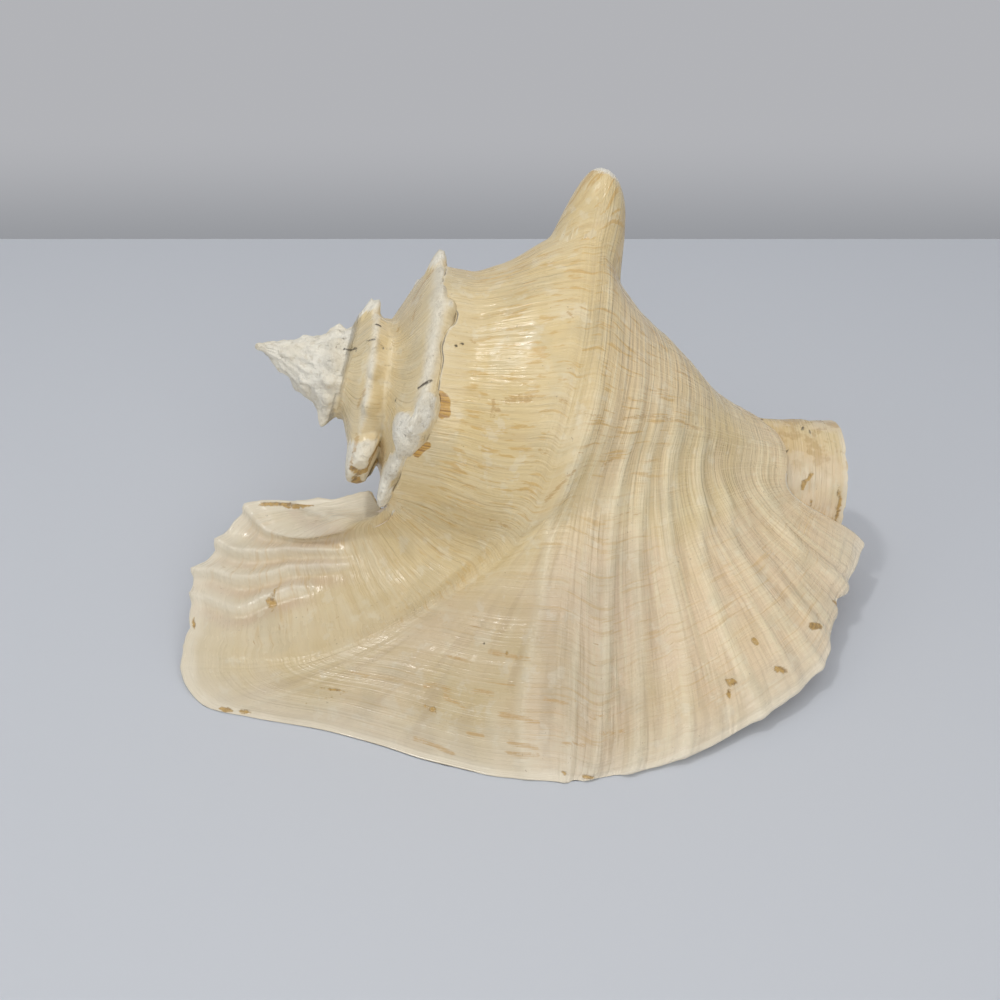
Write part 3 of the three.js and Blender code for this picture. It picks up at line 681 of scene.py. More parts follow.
UV_LIP = rect(.008, .742, .992, .992)
UV_BODY = rect(.008, .385, .640, .732)
a = mark_attrs(P0)
yel = lambda u, v: smooth(.55, -.05, u)*smooth(.02, .14, v)*smooth(.85, .6, v)
# dark line along the suture edge of the last whorl: painted shade in the suture gap
crack = vB*160-.30+.5*n1(uB*230, 3.0, 81)+8*(1-smooth(-.56, -.46, uB)*smooth(-.10, -.16, uB))
base_attr = dict(rdg=RIDGE[0], warm=1.0, calm=crest(uB, vB), m_crack=crack, yel=yel(uB, vB), gr=growth(uB, vB)-.5*np.clip(hB, 0, 20)*smooth(40, 5, thB)*smooth(-60, -5, thB), cr=vB*160, rim=60+0*uB, pink=pinkness(uB, vB), tipm=hB, worn=smooth(.018, 0, vB)*(.25+.55*smooth(80, 55, thB)), chalk=.8*smooth(.78, .97, hB/18)*(thB < -40), olive=1.2*np.exp(-((vB-.492)/.022)**2-((thB+17)/9)**2))
soup.add(P2, quads(*uB.shape), UV_BODY((1+uB), vB), **base_attr, **a)
n_body = P2.shape[0]*P2.shape[1]
a = mark_attrs(Q0)
chord_mm = np.linalg.norm(Q0[-1]-Q0[0], axis=-1)[None]*np.ones((NL, 1))
rim_mm = (1-uL)*chord_mm*1.1
# shade: greyer middle of the lip, partly its own tone and partly painted shade
soup.add(Q2, quads(*uL.shape), UV_LIP(vL, 1-uL), rdg=RIDGE[1], fr=FOLDS[1][0], fv=FOLDS[1][1], wing=smooth(.30, .85, uL)*smooth(.47, .40, vL), warm=1.0, calm=crest(uL, vL), shade=smooth(.12, .45, uL)*smooth(.70, .56, vL)*(.60+.40*smooth(.375, .42, vL)), yel=yel(uL, vL), gr=growth(uL, vL), cr=vL*160, rim=rim_mm, pink=pinkness(uL, vL), tipm=hL, worn=smooth(.018, 0, vL)*.25, **a)

# inner face of the wall and the lip
u_in = np.concatenate([np.linspace(-.62, 0, 16)[:-1], np.linspace(0, 1, 24)])
cin = cols[::2]
uI, vI = np.meshgrid(u_in, cin, indexing="ij")
WN = outer_normal(uI, vI)
I0 = outer3(uI, vI)
Iw = wall(uI, vI)
I2 = I0-WN*Iw[..., None]
I2[..., 2] = np.maximum(I2[..., 2], .02)
relief = .25*vnoise(I2, 16, 12)*smooth(1, .9, uI)
I2 = I2+WN*relief[..., None]
UV_IN = rect(.008, .215, .992, .375)
soup_first = soup.n
soup.add(I2, [q[::-1] for q in quads(*uI.shape)], UV_IN(vI, (uI+.62)/1.62), gr=growth(uI, vI), cr=vI*160, inner=1.0, rim=(1-uI)*75, pink=smooth(-.2, .6, uI)*smooth(.05, .3, vI))

# rounded worn rim between the two faces
rimN = np.interp(cols, cin, WN[-1, :, 0]), np.interp(cols, cin, WN[-1, :, 1]), np.interp(cols, cin, WN[-1, :, 2])
rimN = unit(np.stack(rimN, -1))
inner_edge = np.stack([np.interp(cols, cin, I2[-1, :, k]) for k in range(3)], -1)
outer_edge = Q2[-1]
T = unit(Q2[-1]-Q2[-3])
w = np.linalg.norm(outer_edge-inner_edge, axis=-1)[:, None]
mid = .5*(outer_edge+inner_edge)
half = .5*(outer_edge-inner_edge)
rows = []
for k in range(7):
    ang = np.pi*k/6
    rough = (.12*vnoise(mid+k*3.1, 1.6, 21)+.12*vnoise(mid+k*2.3, 4, 22))[:, None]*(0 < k < 6)
    rows.append(mid+half*np.cos(ang)+T*(w*.42*np.sin(ang))+T*rough)
R2 = np.stack(rows, 0)
R2[..., 2] = np.maximum(R2[..., 2], 0.0)
UV_RIM = rect(.008, .188, .992, .206)
cc = np.broadcast_to(cols, R2.shape[:2])
soup.add(R2, quads(*R2.shape[:2]), UV_RIM(cc, np.linspace(0, 1, 7)[:, None]), gr=255+0*cc, cr=cc*160, rim=0*cc, worn=1.0, pink=.3, chalk=.35, inner=np.linspace(0, .6, 7)[:, None]+0*cc, **mark_attrs(R2))

# the two free side edges of the lip
for side, c in ((0, 0), (1, -1)):
    ui = u_in[u_in >= 0]
    Po = Q2[:, c]
    Pi = I2[u_in >= 0][:, c]
    Pim = np.stack([np.interp(u_lip, ui, Pi[:, k]) for k in range(3)], -1)
    out = unit(Q2[:, 0]-Q2[:, 2]) if c == 0 else unit(Q2[:, -1]-Q2[:, -3])
    w = np.linalg.norm(Po-Pim, axis=-1)[:, None]
    rows = []
    for k in range(5):
        ang = np.pi*k/4
        rows.append(.5*(Po+Pim)+.5*(Po-Pim)*np.cos(ang)+out*w*.4*np.sin(ang))
    S2 = np.stack(rows, 1)
    q = quads(*S2.shape[:2])
    if c == 0:
        q = [f[::-1] for f in q]
    uu = u_lip[:, None]+np.zeros((1, 5))
    UV = rect(.008+.5*side, .160, .480+.5*side, .178)
    soup.add(S2, q, UV(uu, np.linspace(0, 1, 5)[None]), gr=180+75*uu, cr=side*160, rim=20.0, worn=.9, chalk=.3, pink=.3, **mark_attrs(S2))

# skirts under the suture edge and the foot edge of the last whorl
for side, c in ((0, 0), (1, -1)):
    Po = P2[:, c]
    E = radial(thB[:, c])
    out = unit(P2[:, 0]-P2[:, 2]) if c == 0 else unit(P2[:, -1]-P2[:, -3])
    rows = [Po, Po+out*.35-E*.25, Po+out*.45-E*.9, Po+out*.1-E*4.5]
    S2 = np.stack(rows, 1)
    q = quads(*S2.shape[:2])
    if c == 0:
        q = [f[::-1] for f in q]
    uu = (1+u_body)[:, None]+np.zeros((1, 4))
    UV = rect(.008+.5*side, .135, .480+.5*side, .150)
    # the lower rows of these skirts are painted near black: painted shade under the edges
    soup.add(S2, q, UV(uu, np.linspace(0, 1, 4)[None]), gr=180*uu, cr=side*160, rim=40.0, worn=np.array([.3, .25, .1, 0] if c == 0 else [.15, .15, .1, 0])[None]+0*uu, m_crack=np.array([.75, .05, -.3, -.4])[None]+0*uu, **mark_attrs(S2))


# ---------------------------------------------------------------- spire, inner whorls, columella
KNOBS = [(10.5, 150, 1.3, 1.7), (17.5, 154, 1.5, 1.9), (30.0, 142, 2.9, 2.6), (17, -36, .9, 1.6), (27.5, -32, 1.3, 2.2), (22, 60, .9, 1.7), (25.5, 85, 1.0, 1.8), (20, 100, .8, 1.5), (27, 40, .9, 1.8), (14, 40, .7, 1.4), (29, 110, 1.0, 2.0), (23.5, 20, .8, 1.5)]


def core_point(s, deg):
    r, th, last = core(s, deg)
    wb = smooth(36, 26, s)
    near = [core(np.maximum(s+k, .1), deg) for k in (-1.1, 1.1)]
    r = r*(1-wb)+(near[0][0]+1.4*r+near[1][0])/3.4*wb
    # stout, worn upper spire with a blunt apex
    cone = np.interp(s, [0, .12, .5, 1.0, 1.8, 2.8, 5, 9.5, 14, 19, 24, 28, 32, 40], [0, .45, .95, 1.35, 1.8, 2.15, 2.9, 4.9, 7.3, 10.2, 12.7, 15.6, 18, 22])
    bl = np.maximum(.84*wb, smooth(6, 3, s))
    r = (r+1.35*smooth(37, 29, s))*(1-bl)+cone*bl
    sp, hh = spine_shift(s, th, r)
    sides = [spine_shift(np.maximum(s+k, .1), q[1], q[0])[0] for k, q in zip((-1.1, 1.1), near)]
    sp = sp*(1-wb[..., None])+(sides[0]+1.4*sp+sides[1])/3.4*wb[..., None]
    edge = EDGE(np.clip(deg, -150, 116))
    cover = 1-(1-smooth(edge+2.4, edge+.2, s))*(th < -205)*smooth(66, 84, deg)*smooth(134, 120, deg)
    sp = sp*cover[..., None]-radial(deg)*(2.0*(1-smooth(edge+1.9, edge+.5, s))*(th < -205)*smooth(70, 88, deg)*smooth(136, 122, deg)*smooth(80, 70, s))[..., None]
    P = at(s, deg, r)+sp+np.interp(s, [0, 9, 14, 19, 31, 39], [0, .17, .55, 1.7, 1.8, 0])[..., None]*np.array([0, -.5, -.86])
    for ks, kd, kh, kw in KNOBS:
        P = P+(kh*np.exp(-((s-ks)**2+(rad(deg-kd)*r)**2)/kw**2))[..., None]*radial(deg)
    er = radial(deg)
    small = smooth(70, 30, s)
    # worn, pitted spire; smoother growth waves on the later whorls
    n = .80*vnoise(P, 3.1, 31)+.45*vnoise(P, 1.7, 32)+.80*vnoise(P, 5.5, 33)
    g = growth_len(th)
    n2 = .20*vnoise(np.stack([g, s*.25, 0*g], -1), 3.2, 35)+.14*vnoise(np.stack([g, s*.3, 0*g], -1), 1.7, 36)+.25*vnoise(P, 8, 37)
    k = smooth(38, 26, s)
    k = np.maximum(k, .75*smooth(1.5, 4.5, hh)*(th < -205))
    k = k*smooth(0, 3, s)
    h = n*k+n2*(1-k)*smooth(120, 80, s)
    return P+er*h[..., None], r, th, hh, last


def core_sheet(s_rows, n_phi, uvrect, hide, extra_u=0.0):
    phi = np.linspace(-180, 180, n_phi+1)
    S, D = np.meshgrid(s_rows, phi, indexing="ij")
    P, r, th, hh, last = core_point(S, D)
    hidden = hide(S, D, last)
    keep = ~(hidden[:-1, :-1] & hidden[1:, :-1] & hidden[1:, 1:] & hidden[:-1, 1:])
    tt = np.clip((S-su_s(th))/(sh_s(th)-su_s(th)), 0, 1)
    g = growth_len(th)+.16*sh_r(th)*(2*tt-1)**2*(S < 66)
    wg = smooth(34.5, 32.5, S)
    g = g*(1-wg)+D*(.03+.004*S)*wg
    turn = np.round((D-th)/360)
    jump = np.zeros(S.shape)
    cut = (turn[1:] != turn[:-1])*1.0
    jump[1:] = np.maximum(jump[1:], cut)
    jump[:-1] = np.maximum(jump[:-1], cut)
    cut = (turn[:, 1:] != turn[:, :-1])*1.0
    jump[:, 1:] = np.maximum(jump[:, 1:], cut)
    jump[:, :-1] = np.maximum(jump[:, :-1], cut)
    # dark line where two whorls meet: painted shade in the suture gap
    seam = np.full(S.shape, 8.0)
    for k in range(1, 7):
        d = D-360*k
        seam = np.minimum(seam, np.abs(S-su_s(d))*np.where((d > -440) & (d < -350), 1, 99)+0*S)
    below = S-EDGE(np.clip(D, -150, 116))
    chalk = smooth(37, 30, S+1.2*vnoise(P, 5, 41))
    chalk = np.maximum(chalk, .95*smooth(1.6, 3.6, hh)*(th < -205))
    for k in range(1, 5):
        d = D-360*k
        chalk = np.maximum(chalk, .62*np.exp(-((S-sh_s(d))/(1.5+.05*sh_r(d)))**2)*(th == d))
    chalk = np.maximum(chalk, .8*smooth(.80, .97, hh/22)*(th > -205))
    chalk = chalk*(1-.8*smooth(96, 104, D)*smooth(61.5, 62.5, S))
    chalk = chalk*(1-.45*np.exp(-((S-50)/8)**2-((D-120)/28)**2))
    inner = smooth(12, 60, D)*smooth(179, 148, D)*smooth(70, 92, S+3*vnoise(P, 9, 43))*smooth(190, 148, S+.25*D)
    pink = .55*inner
    return P, S, D, keep, dict(gr=g, cr=S, chalk=chalk, inner=inner, pink=pink, rim=50+0*S, m_crack=seam+.38, tipm=hh, olive=0*S, calm=jump)


def under_wall(S, D, last):
    b = ba_s(D)
    return (last > .995) & (D > -136) & (D < -16) & (S > EDGE(D)+6) & (S < b-8)


srows = np.concatenate([[.12, .5, 1.0, 1.6, 2.3], np.arange(3.0, 66.2, .92)])
P, S, D, keep, at_ = core_sheet(srows, 270, None, under_wall)
# marks of the spire: unrolled place (s, deg of the turn), half width
def spire_marks(P, items):
    out = np.full(P.shape[:-1], 8.0)
    for w, path in items:
        sd = dense(path, .5)
        pts = core_point(sd[:, 0], sd[:, 1])[0]
        d, t, _ = seg_dist(P, pts, 8)
        out = np.minimum(out, d-w)
    return out


SP_DARK = [(.35, [(31.5, 29), (33.5, 31), (36.0, 33)]), (.4, [(34.5, 28), (36.0, 36)]), (.4, [(39.0, 31), (41.5, 33)]), (.55, [(41.0, 12), (42.4, 12)]), (.45, [(35.5, -16), (36.0, -20)]),
           (.45, [(59.0, 60.5), (60.6, 58), (62.6, 56)]), (.4, [(53.2, 66), (53.6, 71)]), (.35, [(44.8, 33), (45.2, 36)])]
SP_BROWN = [(1.3, [(47.0, 113), (50.0, 116), (53, 112)]), (.9, [(51.5, 106), (52.8, 112)]), (1.2, [(48.5, 118), (50.5, 126), (52, 137)]), (1.0, [(53.5, 128), (55.5, 143)]), (.8, [(47.5, 132), (51, 142)]), (1.7, [(49.5, 121), (52.0, 134)])]
SP_TAN = [(1.0, [(56.0, -14), (53.5, -9), (51.5, -3)]), (.8, [(53.4, 4), (52.6, 18)]), (.7, [(49.5, 2), (49, 14)]), (.6, [(42.5, 70), (41.5, 86)]), (.7, [(44, 104), (46, 112)])]
spm = dict(m_dark=spire_marks(P, SP_DARK), m_brown=spire_marks(P, SP_BROWN), m_tan=spire_marks(P, SP_TAN))
UV_SPIRE = rect(.652, .385, .992, .732)
soup.add(P, [q[::-1] for q in quads(*S.shape, keep)], UV_SPIRE((D+180)/360, S/67), **at_, **spm)
ring = srows[-1]
srows2 = np.concatenate([[ring], np.arange(ring+1.6, 171.5, 2.1), [172.6]])
P, S, D, keep, at_ = core_sheet(srows2, 135, None, under_wall)
UV_CORE = rect(.008, .008, .400, .128)
soup.add(P, [q[::-1] for q in quads(*S.shape, keep)], UV_CORE((S-66)/107, (D+180)/360), **at_)
# pole cap
tip = at(0.0, 0.0, 0.0)
phi = np.linspace(-180, 180, 31)
c0 = core_point(np.full(31, .12), phi)[0]
soup.add(np.concatenate([c0, tip[None]]), [(i+1, i, 31) for i in range(30)], np.full((32, 2), .655), chalk=1.0, rim=50.0)

# ---------------------------------------------------------------- canal
HOLLOW = [[172, 70, -15, -4], [187, 44, -9, -3], [203, 4, -1, 2.2], [218, -34, 8, 4.4], [234, -50, 12, 4.4], [258, -52, 13, 4.4]]
hs = [q[0] for q in HOLLOW]
h_d0, h_y, h_w = (np.array([q[k] for q in HOLLOW], float) for k in (1, 2, 3))


def canal_end_s(deg):
    s = np.full(np.shape(deg), 240.0)
    for _ in range(8):
        r = foot_r(s, deg)
        s = (CANAL_END_X-APEX[0]-r*np.cos(rad(deg))*NX[0])/AX[0]
    return s


S0 = 171.0
end_out = canal_end_s
n_out, n_in, n_k, n_l = 96, 34, 9, 9
ang_out = np.linspace(-166, 104, n_out)
f_rows = np.linspace(0, 1, 50)
loops, sO, aO = [], [], []
for f in f_rows:
    so = S0+(end_out(ang_out)-S0)*f
    ro = foot_r(so, ang_out)
    ro = ro-.5*(1-smooth(0, .04, f))
    Pout = at(so, ang_out, ro)
    sm = S0+(238-S0)*f
    d0 = np.interp(sm, hs, h_d0)
    yb = np.interp(sm, hs, h_y)
    wl = np.interp(sm, hs, h_w)
    ang_in = np.linspace(104, d0, n_in)
    si = S0+(end_out(ang_in)-S0)*f
    ri = np.minimum(foot_r(si, ang_in)-wl, foot_r(si, ang_in)-.02)
    ri = np.maximum(ri, 2)
    # thin, rounded free edge
    ri = np.maximum(ri, foot_r(si, ang_in)-np.maximum(.3, wl)*smooth(103.9, 92, ang_in)-.02)
    Pin = at(si, ang_in, ri)
    knee = at(sm, 180.0, 17.0)
    knee[1] = yb-5
    low = Pout[0]
    K = Pin[-1][None]*(1-np.linspace(0, 1, n_k)[:, None])+knee[None]*np.linspace(0, 1, n_k)[:, None]
    K2 = knee[None]*(1-np.linspace(0, 1, n_l)[:, None])+low[None]*np.linspace(0, 1, n_l)[:, None]
    loops.append(np.concatenate([Pout, Pin, K[1:], K2[1:]], 0))
    sO.append(so)
C2 = np.stack(loops, 0)
n_loop = C2.shape[1]
sO = np.stack(sO, 0)
# relief of the outside: growth lines that follow the canal's end, scars of the fasciole
Nn = grid_normals(C2)
isout = np.zeros(n_loop)
isout[:n_out] = 1
fgrid = f_rows[:, None]*np.ones((1, n_loop))
ang_all = np.concatenate([ang_out, np.linspace(104, -40, n_in), np.full(n_k-1, -60.0), np.full(n_l-1, -170.0)])
gcan = fgrid*66
hrel = .35*vnoise(np.stack([gcan, ang_all[None]*.35+0*gcan, 0*gcan], -1), 4.5, 51)+.35*vnoise(C2, 7, 52)+.18*vnoise(C2, 2.6, 53)
hrel = hrel*(.35+.65*isout[None])
bump_s, bump_a = 180.5, -30.0
hb = 1.5*np.exp(-((sO-bump_s)/5.0)**2-((ang_out[None]-bump_a)*.45/7)**2)
hrel[:, :n_out] += hb
sign = 1.0
mid_pt = C2.mean(1, keepdims=True)
test = (Nn[:, :n_out]*(C2[:, :n_out]-mid_pt)).sum()
sign = 1.0 if test > 0 else -1.0
C3 = C2+Nn*(sign*hrel)[..., None]
C3[..., 2] = np.maximum(C3[..., 2], .02)
# broken end: uneven by about a millimetre
brk = .9*n1(np.arange(n_loop)*1.4, 6, 61)+.5*n1(np.arange(n_loop)*1.4, 2.2, 62)
C3 = C3+(AX*1.0)[None, None]*(np.clip(f_rows-.93, 0, 1)/.07)[:, None, None]*np.minimum(brk, .2)[None, :, None]
faces = quads(*C3.shape[:2])
faces += [(i*n_loop+n_loop-1, (i+1)*n_loop+n_loop-1, (i+1)*n_loop, i*n_loop) for i in range(len(f_rows)-1)]
if sign < 0:
    faces = [q[::-1] for q in faces]
UV_CAN = rect(.410, .008, .992, .128)
inn = (1-isout)[None]*np.ones((len(f_rows), 1))
last_n = C3.shape[0]*n_loop
# blunt end between the outer arc and the inner path
loop_ids = np.arange(n_loop)+(len(f_rows)-1)*n_loop
E = C3[-1]
ids_a = list(range(n_out))
ids_b = list(range(n_loop-1, n_out-1, -1))
ta = np.linspace(0, 1, len(ids_a))
arc_b = np.concatenate([[0], np.cumsum(np.linalg.norm(np.diff(E[ids_b], axis=0), axis=1))])
ta = np.concatenate([[0], np.cumsum(np.linalg.norm(np.diff(E[ids_a], axis=0), axis=1))])
ta, tb = ta/ta[-1], arc_b/arc_b[-1]
# match the two rows by their share of length along each
cap = zipper(ids_a, ta, ids_b, tb)
if sign > 0:
    cap = [q[::-1] for q in cap]


def canal_marks(items):
    out = np.full(C3.shape[:2], 8.0)
    for w, path in items:
        sd = dense(path, 1.0)
        s_, a_ = sd[:, 0], sd[:, 1]
        pts = at(s_, a_, foot_r(s_, a_))
        d, t, _ = seg_dist(C3, pts, 8)
        out = np.minimum(out, d-w)
    return out


CAN = dict(m_dark=canal_marks([(.5, [(198, -20), (194, -10)]), (.5, [(213, -8), (212, -4)]), (.35, [(215, -4), (215, 0)]), (.35, [(204, 28), (207, 16)])]),
           m_brown=canal_marks([(1.0, [(215, 55), (215, 48)]), (.9, [(216, 44), (217, 39)]), (.8, [(221, 70), (220, 64)]), (.9, [(228, 80), (230, 86)]), (.9, [(229, 46), (231, 56), (233, 72), (235, 90)])]),
           m_tan=canal_marks([]), m_amber=canal_marks([]))
canal_pink = np.zeros(C3.shape[:2])
olive = np.zeros(C3.shape[:2])
fa = C3[..., 0]*0
angg = ang_all[None]+0*fa
olive[:] = smooth(45, 15, angg)*smooth(.25, .45, fgrid)*isout[None]
canal_pink[:] = smooth(0, 30, angg)*smooth(.4, .6, fgrid)*isout[None]
soup.add(C3, faces, UV_CAN(np.arange(n_loop)[None]/(n_loop-1)+0*fgrid, fgrid), gr=gcan, cr=angg*.4, rim=50.0, inner=inn*.85, pink=canal_pink+.4*inn, olive=olive, worn=smooth(.93, 1, fgrid)*.8, chalk=.25*isout[None]+0*fgrid, **CAN)
soup.add(E, cap, UV_CAN(np.arange(n_loop)/(n_loop-1), 1.0), gr=66.0, cr=0.0, worn=.7, chalk=.4, rim=50.0, pink=.3)

V = np.concatenate(soup.v)
F = soup.f
UVV = np.concatenate(soup.uv)
ATTR = {k: np.concatenate(x) for k, x in soup.a.items()}
V = V+SHIFT
V[:, 2] = np.maximum(V[:, 2], 0.0)


# ---------------------------------------------------------------- one mesh
mesh = bpy.data.meshes.new("shell_surface")
loops_n = np.array([len(f) for f in F])
flat = np.fromiter((i for f in F for i in f), np.int32, int(loops_n.sum()))
mesh.vertices.add(len(V))
mesh.vertices.foreach_set("co", (V/1000).astype(np.float32).ravel())
mesh.loops.add(len(flat))
mesh.loops.foreach_set("vertex_index", flat)
mesh.polygons.add(len(F))
mesh.polygons.foreach_set("loop_start", np.concatenate([[0], np.cumsum(loops_n)[:-1]]).astype(np.int32))
mesh.update(calc_edges=True)
mesh.validate()
uvl = mesh.uv_layers.new(name="OFBake")
lv = np.zeros(len(mesh.loops), np.int32)
mesh.loops.foreach_get("vertex_index", lv)
uvl.data.foreach_set("uv", UVV[lv].astype(np.float32).ravel())
for k, x in ATTR.items():
    at_layer = mesh.attributes.new(k, "FLOAT", "POINT")
    at_layer.data.foreach_set("value", x.astype(np.float32))
mesh.polygons.foreach_set("use_smooth", np.ones(len(mesh.polygons), bool))
mesh.update()
shell = bpy.data.objects.new("shell_wall", mesh)
bpy.context.scene.collection.objects.link(shell)

# ---------------------------------------------------------------- material
mat = bpy.data.materials.new("worn_conch_shell")
mat.use_nodes = True
nt = mat.node_tree
nt.nodes.clear()
L = nt.links


def put(sock, val):
    if isinstance(val, bpy.types.NodeSocket):
        L.new(val, sock)
    elif val is not None:
        if hasattr(sock, "default_value") and hasattr(sock.default_value, "__len__") and not hasattr(val, "__len__"):
            sock.default_value = [val]*len(sock.default_value)
        elif hasattr(val, "__len__") and len(val) == 3 and len(sock.default_value) == 4:
            sock.default_value = (*val, 1)
        else:
            sock.default_value = val


def attr(name):
    n = nt.nodes.new("ShaderNodeAttribute")
    n.attribute_name = name
    return n.outputs["Fac"]


def m(op, a, b=None, c=None, clamp=False):
    n = nt.nodes.new("ShaderNodeMath")
    n.operation = op
    n.use_clamp = clamp
    for i, x in enumerate((a, b, c)):
        if x is not None:
            put(n.inputs[i], x)
    return n.outputs[0]


def step(x, a, b):
    n = nt.nodes.new("ShaderNodeMapRange")
    n.interpolation_type = "SMOOTHSTEP"
    put(n.inputs["Value"], x)
    n.inputs["From Min"].default_value = a
    n.inputs["From Max"].default_value = b
    return n.outputs["Result"]


def fade(x, a, b):
    """1 at a falling to 0 at b"""
    n = nt.nodes.new("ShaderNodeMapRange")
    n.interpolation_type = "SMOOTHSTEP"
    put(n.inputs["Value"], x)
    n.inputs["From Min"].default_value = a
    n.inputs["From Max"].default_value = b
    n.inputs["To Min"].default_value = 1
    n.inputs["To Max"].default_value = 0
    return n.outputs["Result"]


def mixc(fac, a, b, kind="MIX"):
    n = nt.nodes.new("ShaderNodeMix")
    n.data_type = "RGBA"
    n.blend_type = kind
    put(n.inputs[0], fac)
    put(n.inputs[6], a)
    put(n.inputs[7], b)
    return n.outputs[2]


def vec(x, y, z):
    n = nt.nodes.new("ShaderNodeCombineXYZ")
    for i, q in enumerate((x, y, z)):
        put(n.inputs[i], q)
    return n.outputs[0]


def noise(v, scale, detail=3.0, rough=.55, dist=0.0):
    n = nt.nodes.new("ShaderNodeTexNoise")
    put(n.inputs["Vector"], v)
    n.inputs["Scale"].default_value = scale
    n.inputs["Detail"].default_value = detail
    n.inputs["Roughness"].default_value = rough
    n.inputs["Distortion"].default_value = dist
    return n.outputs["Fac"]


def mul(a, b):
    return m("MULTIPLY", a, b)


co = nt.nodes.new("ShaderNodeTexCoord").outputs["Object"]
gr, cr = attr("gr"), attr("cr")
chalk, inner, rim_d, pink, olive, worn, yel = (attr(k) for k in ("chalk", "inner", "rim", "pink", "olive", "worn", "yel"))
tipm = attr("tipm")

# wobble of the growth lines
wob = noise(co, 34, 2)
grw = m("ADD", gr, mul(m("SUBTRACT", wob, .5), 1.6))
# fine growth lines, about one each 1.3 mm, and broader bands
fine = noise(vec(mul(grw, .78), mul(cr, .018), 0.0), 1.0, 2.0, .6)
fine2 = noise(vec(mul(grw, 1.9), mul(cr, .05), 3.0), 1.0, 1.0, .5)
band = noise(vec(mul(grw, .16), mul(cr, .030), 7.0), 1.0, 3.0, .5)
cross = noise(vec(mul(grw, .022), mul(cr, .50), 23.0), 1.0, 2.0, .5)
cross2 = noise(vec(mul(grw, .03), mul(cr, 1.15), 29.0), 1.0, 2.0, .55)
rdg = attr("rdg")
steady = m("SUBTRACT", 1.0, attr("calm"), clamp=True)
fold_crest_tone_and_painted_light, fold_scarp_tone_and_painted_shade, wing = attr("fr"), attr("fv"), attr("wing")
gl = mul(mul(m("ADD", mul(fade(cr, 56, 76), .72), .28), m("SUBTRACT", 1.0, mul(wing, .55))), steady)
spiral = mul(step(cr, 52, 76), steady)
streak = noise(vec(mul(grw, .80), mul(cr, .075), 11.0), 1.0, 3.0, .6)
dash = noise(vec(mul(grw, .9), mul(cr, .24), 17.0), 1.0, 2.0, .5)
cloud = noise(co, 22, 3)
cloud2 = noise(co, 70, 3)
grain = noise(co, 420, 3, .6)
speck = noise(co, 900, 2, .5)

# body colours
yellow = (.735, .590, .340)
cream = (.775, .640, .400)
pale = (.820, .725, .520)
pinkc = (.800, .635, .440)
base = mixc(step(m("ADD", band, mul(m("SUBTRACT", cloud, .5), .6)), .35, .66), yellow, cream)
base = mixc(mul(yel, m("ADD", .15, mul(step(cloud, .35, .6), .55))), base, (.740, .575, .290))
base = mixc(mul(pink, step(cloud, .30, .62)), base, pinkc)
base = mixc(mul(step(m("ADD", mul(cloud2, .5), mul(fine, .5)), .50, .66), .45), base, pale)
# fine tan lines between the growth steps
line = m("MULTIPLY", fade(fine, .36, .47), fade(inner, .2, .6))
cl = mul(fade(cross, .36, .47), spiral)
base = mixc(mul(cl, .30), base, (.500, .375, .235))
cl2 = mul(fade(cross2, .36, .46), spiral)
base = mixc(mul(cl2, .24), base, (.520, .390, .245))
base = mixc(mul(mul(step(cross, .54, .66), spiral), .50), base, (.850, .745, .520))
# paler on the tops of the cords, darker in the grooves between them
base = mixc(mul(step(rdg, .25, 1.3), .45), base, (.850, .755, .545))
base = mixc(mul(fade(rdg, -.35, -.05), .30), base, (.560, .400, .250))
base = mixc(mul(mul(line, gl), m("ADD", .13, mul(yel, .10))), base, (.520, .355, .185))
line2 = m("MULTIPLY", fade(fine2, .36, .46), fade(inner, .2, .6))
base = mixc(mul(mul(line2, gl), .12), base, (.560, .400, .220))
# wing of the lip: whiter corner; pale fold crests, partly their own colour and partly painted light on the tops;
# pinkish-brown lower sides of the folds, partly their own colour and partly painted shade
base = mixc(mul(wing, mul(step(cloud, .36, .60), .42)), base, (.790, .710, .560))
base = mixc(mul(fold_scarp_tone_and_painted_shade, .55), base, (.600, .420, .290))
base = mixc(mul(fold_crest_tone_and_painted_light, .50), base, (.850, .785, .670))
# greyish olive clouds
base = mixc(mul(mul(step(noise(co, 46, 3, .55), .50, .64), fade(inner, .1, .4)), .30), base, (.560, .490, .330))
base = mixc(mul(mul(step(noise(co, 150, 3, .6), .56, .66), fade(inner, .1, .4)), .35), base, (.840, .765, .600))
# broken ochre streaks
oz = mul(step(streak, .54, .64), steady)
oz = mul(oz, m("MAXIMUM", mul(step(cloud, .42, .60), .5), mul(yel, step(cloud, .34, .50))))
base = mixc(mul(mul(oz, fade(inner, .1, .4)), .68), base, (.610, .390, .130))
dz = mul(step(dash, .70, .76), step(cloud2, .45, .6))
base = mixc(mul(mul(dz, fade(inner, .1, .3)), .65), base, (.470, .260, .075))

# glazed inside
glaze = mixc(step(cloud, .3, .7), (.840, .640, .500), (.850, .560, .440))
glaze = mixc(pink, (.830, .700, .540), glaze)
base = mixc(step(inner, .15, .85), base, glaze)

# warmer body; greyer middle of the lip, partly its own tone and partly painted shade on the up-facing flare
base = mixc(attr("warm"), base, (1.0, .980, .930), "MULTIPLY")
base = mixc(attr("shade"), base, (.800, .802, .830), "MULTIPLY")
base = mixc(mul(mul(fade(cloud, .36, .52), fade(chalk, .2, .6)), .25), base, (.860, .868, .850), "MULTIPLY")

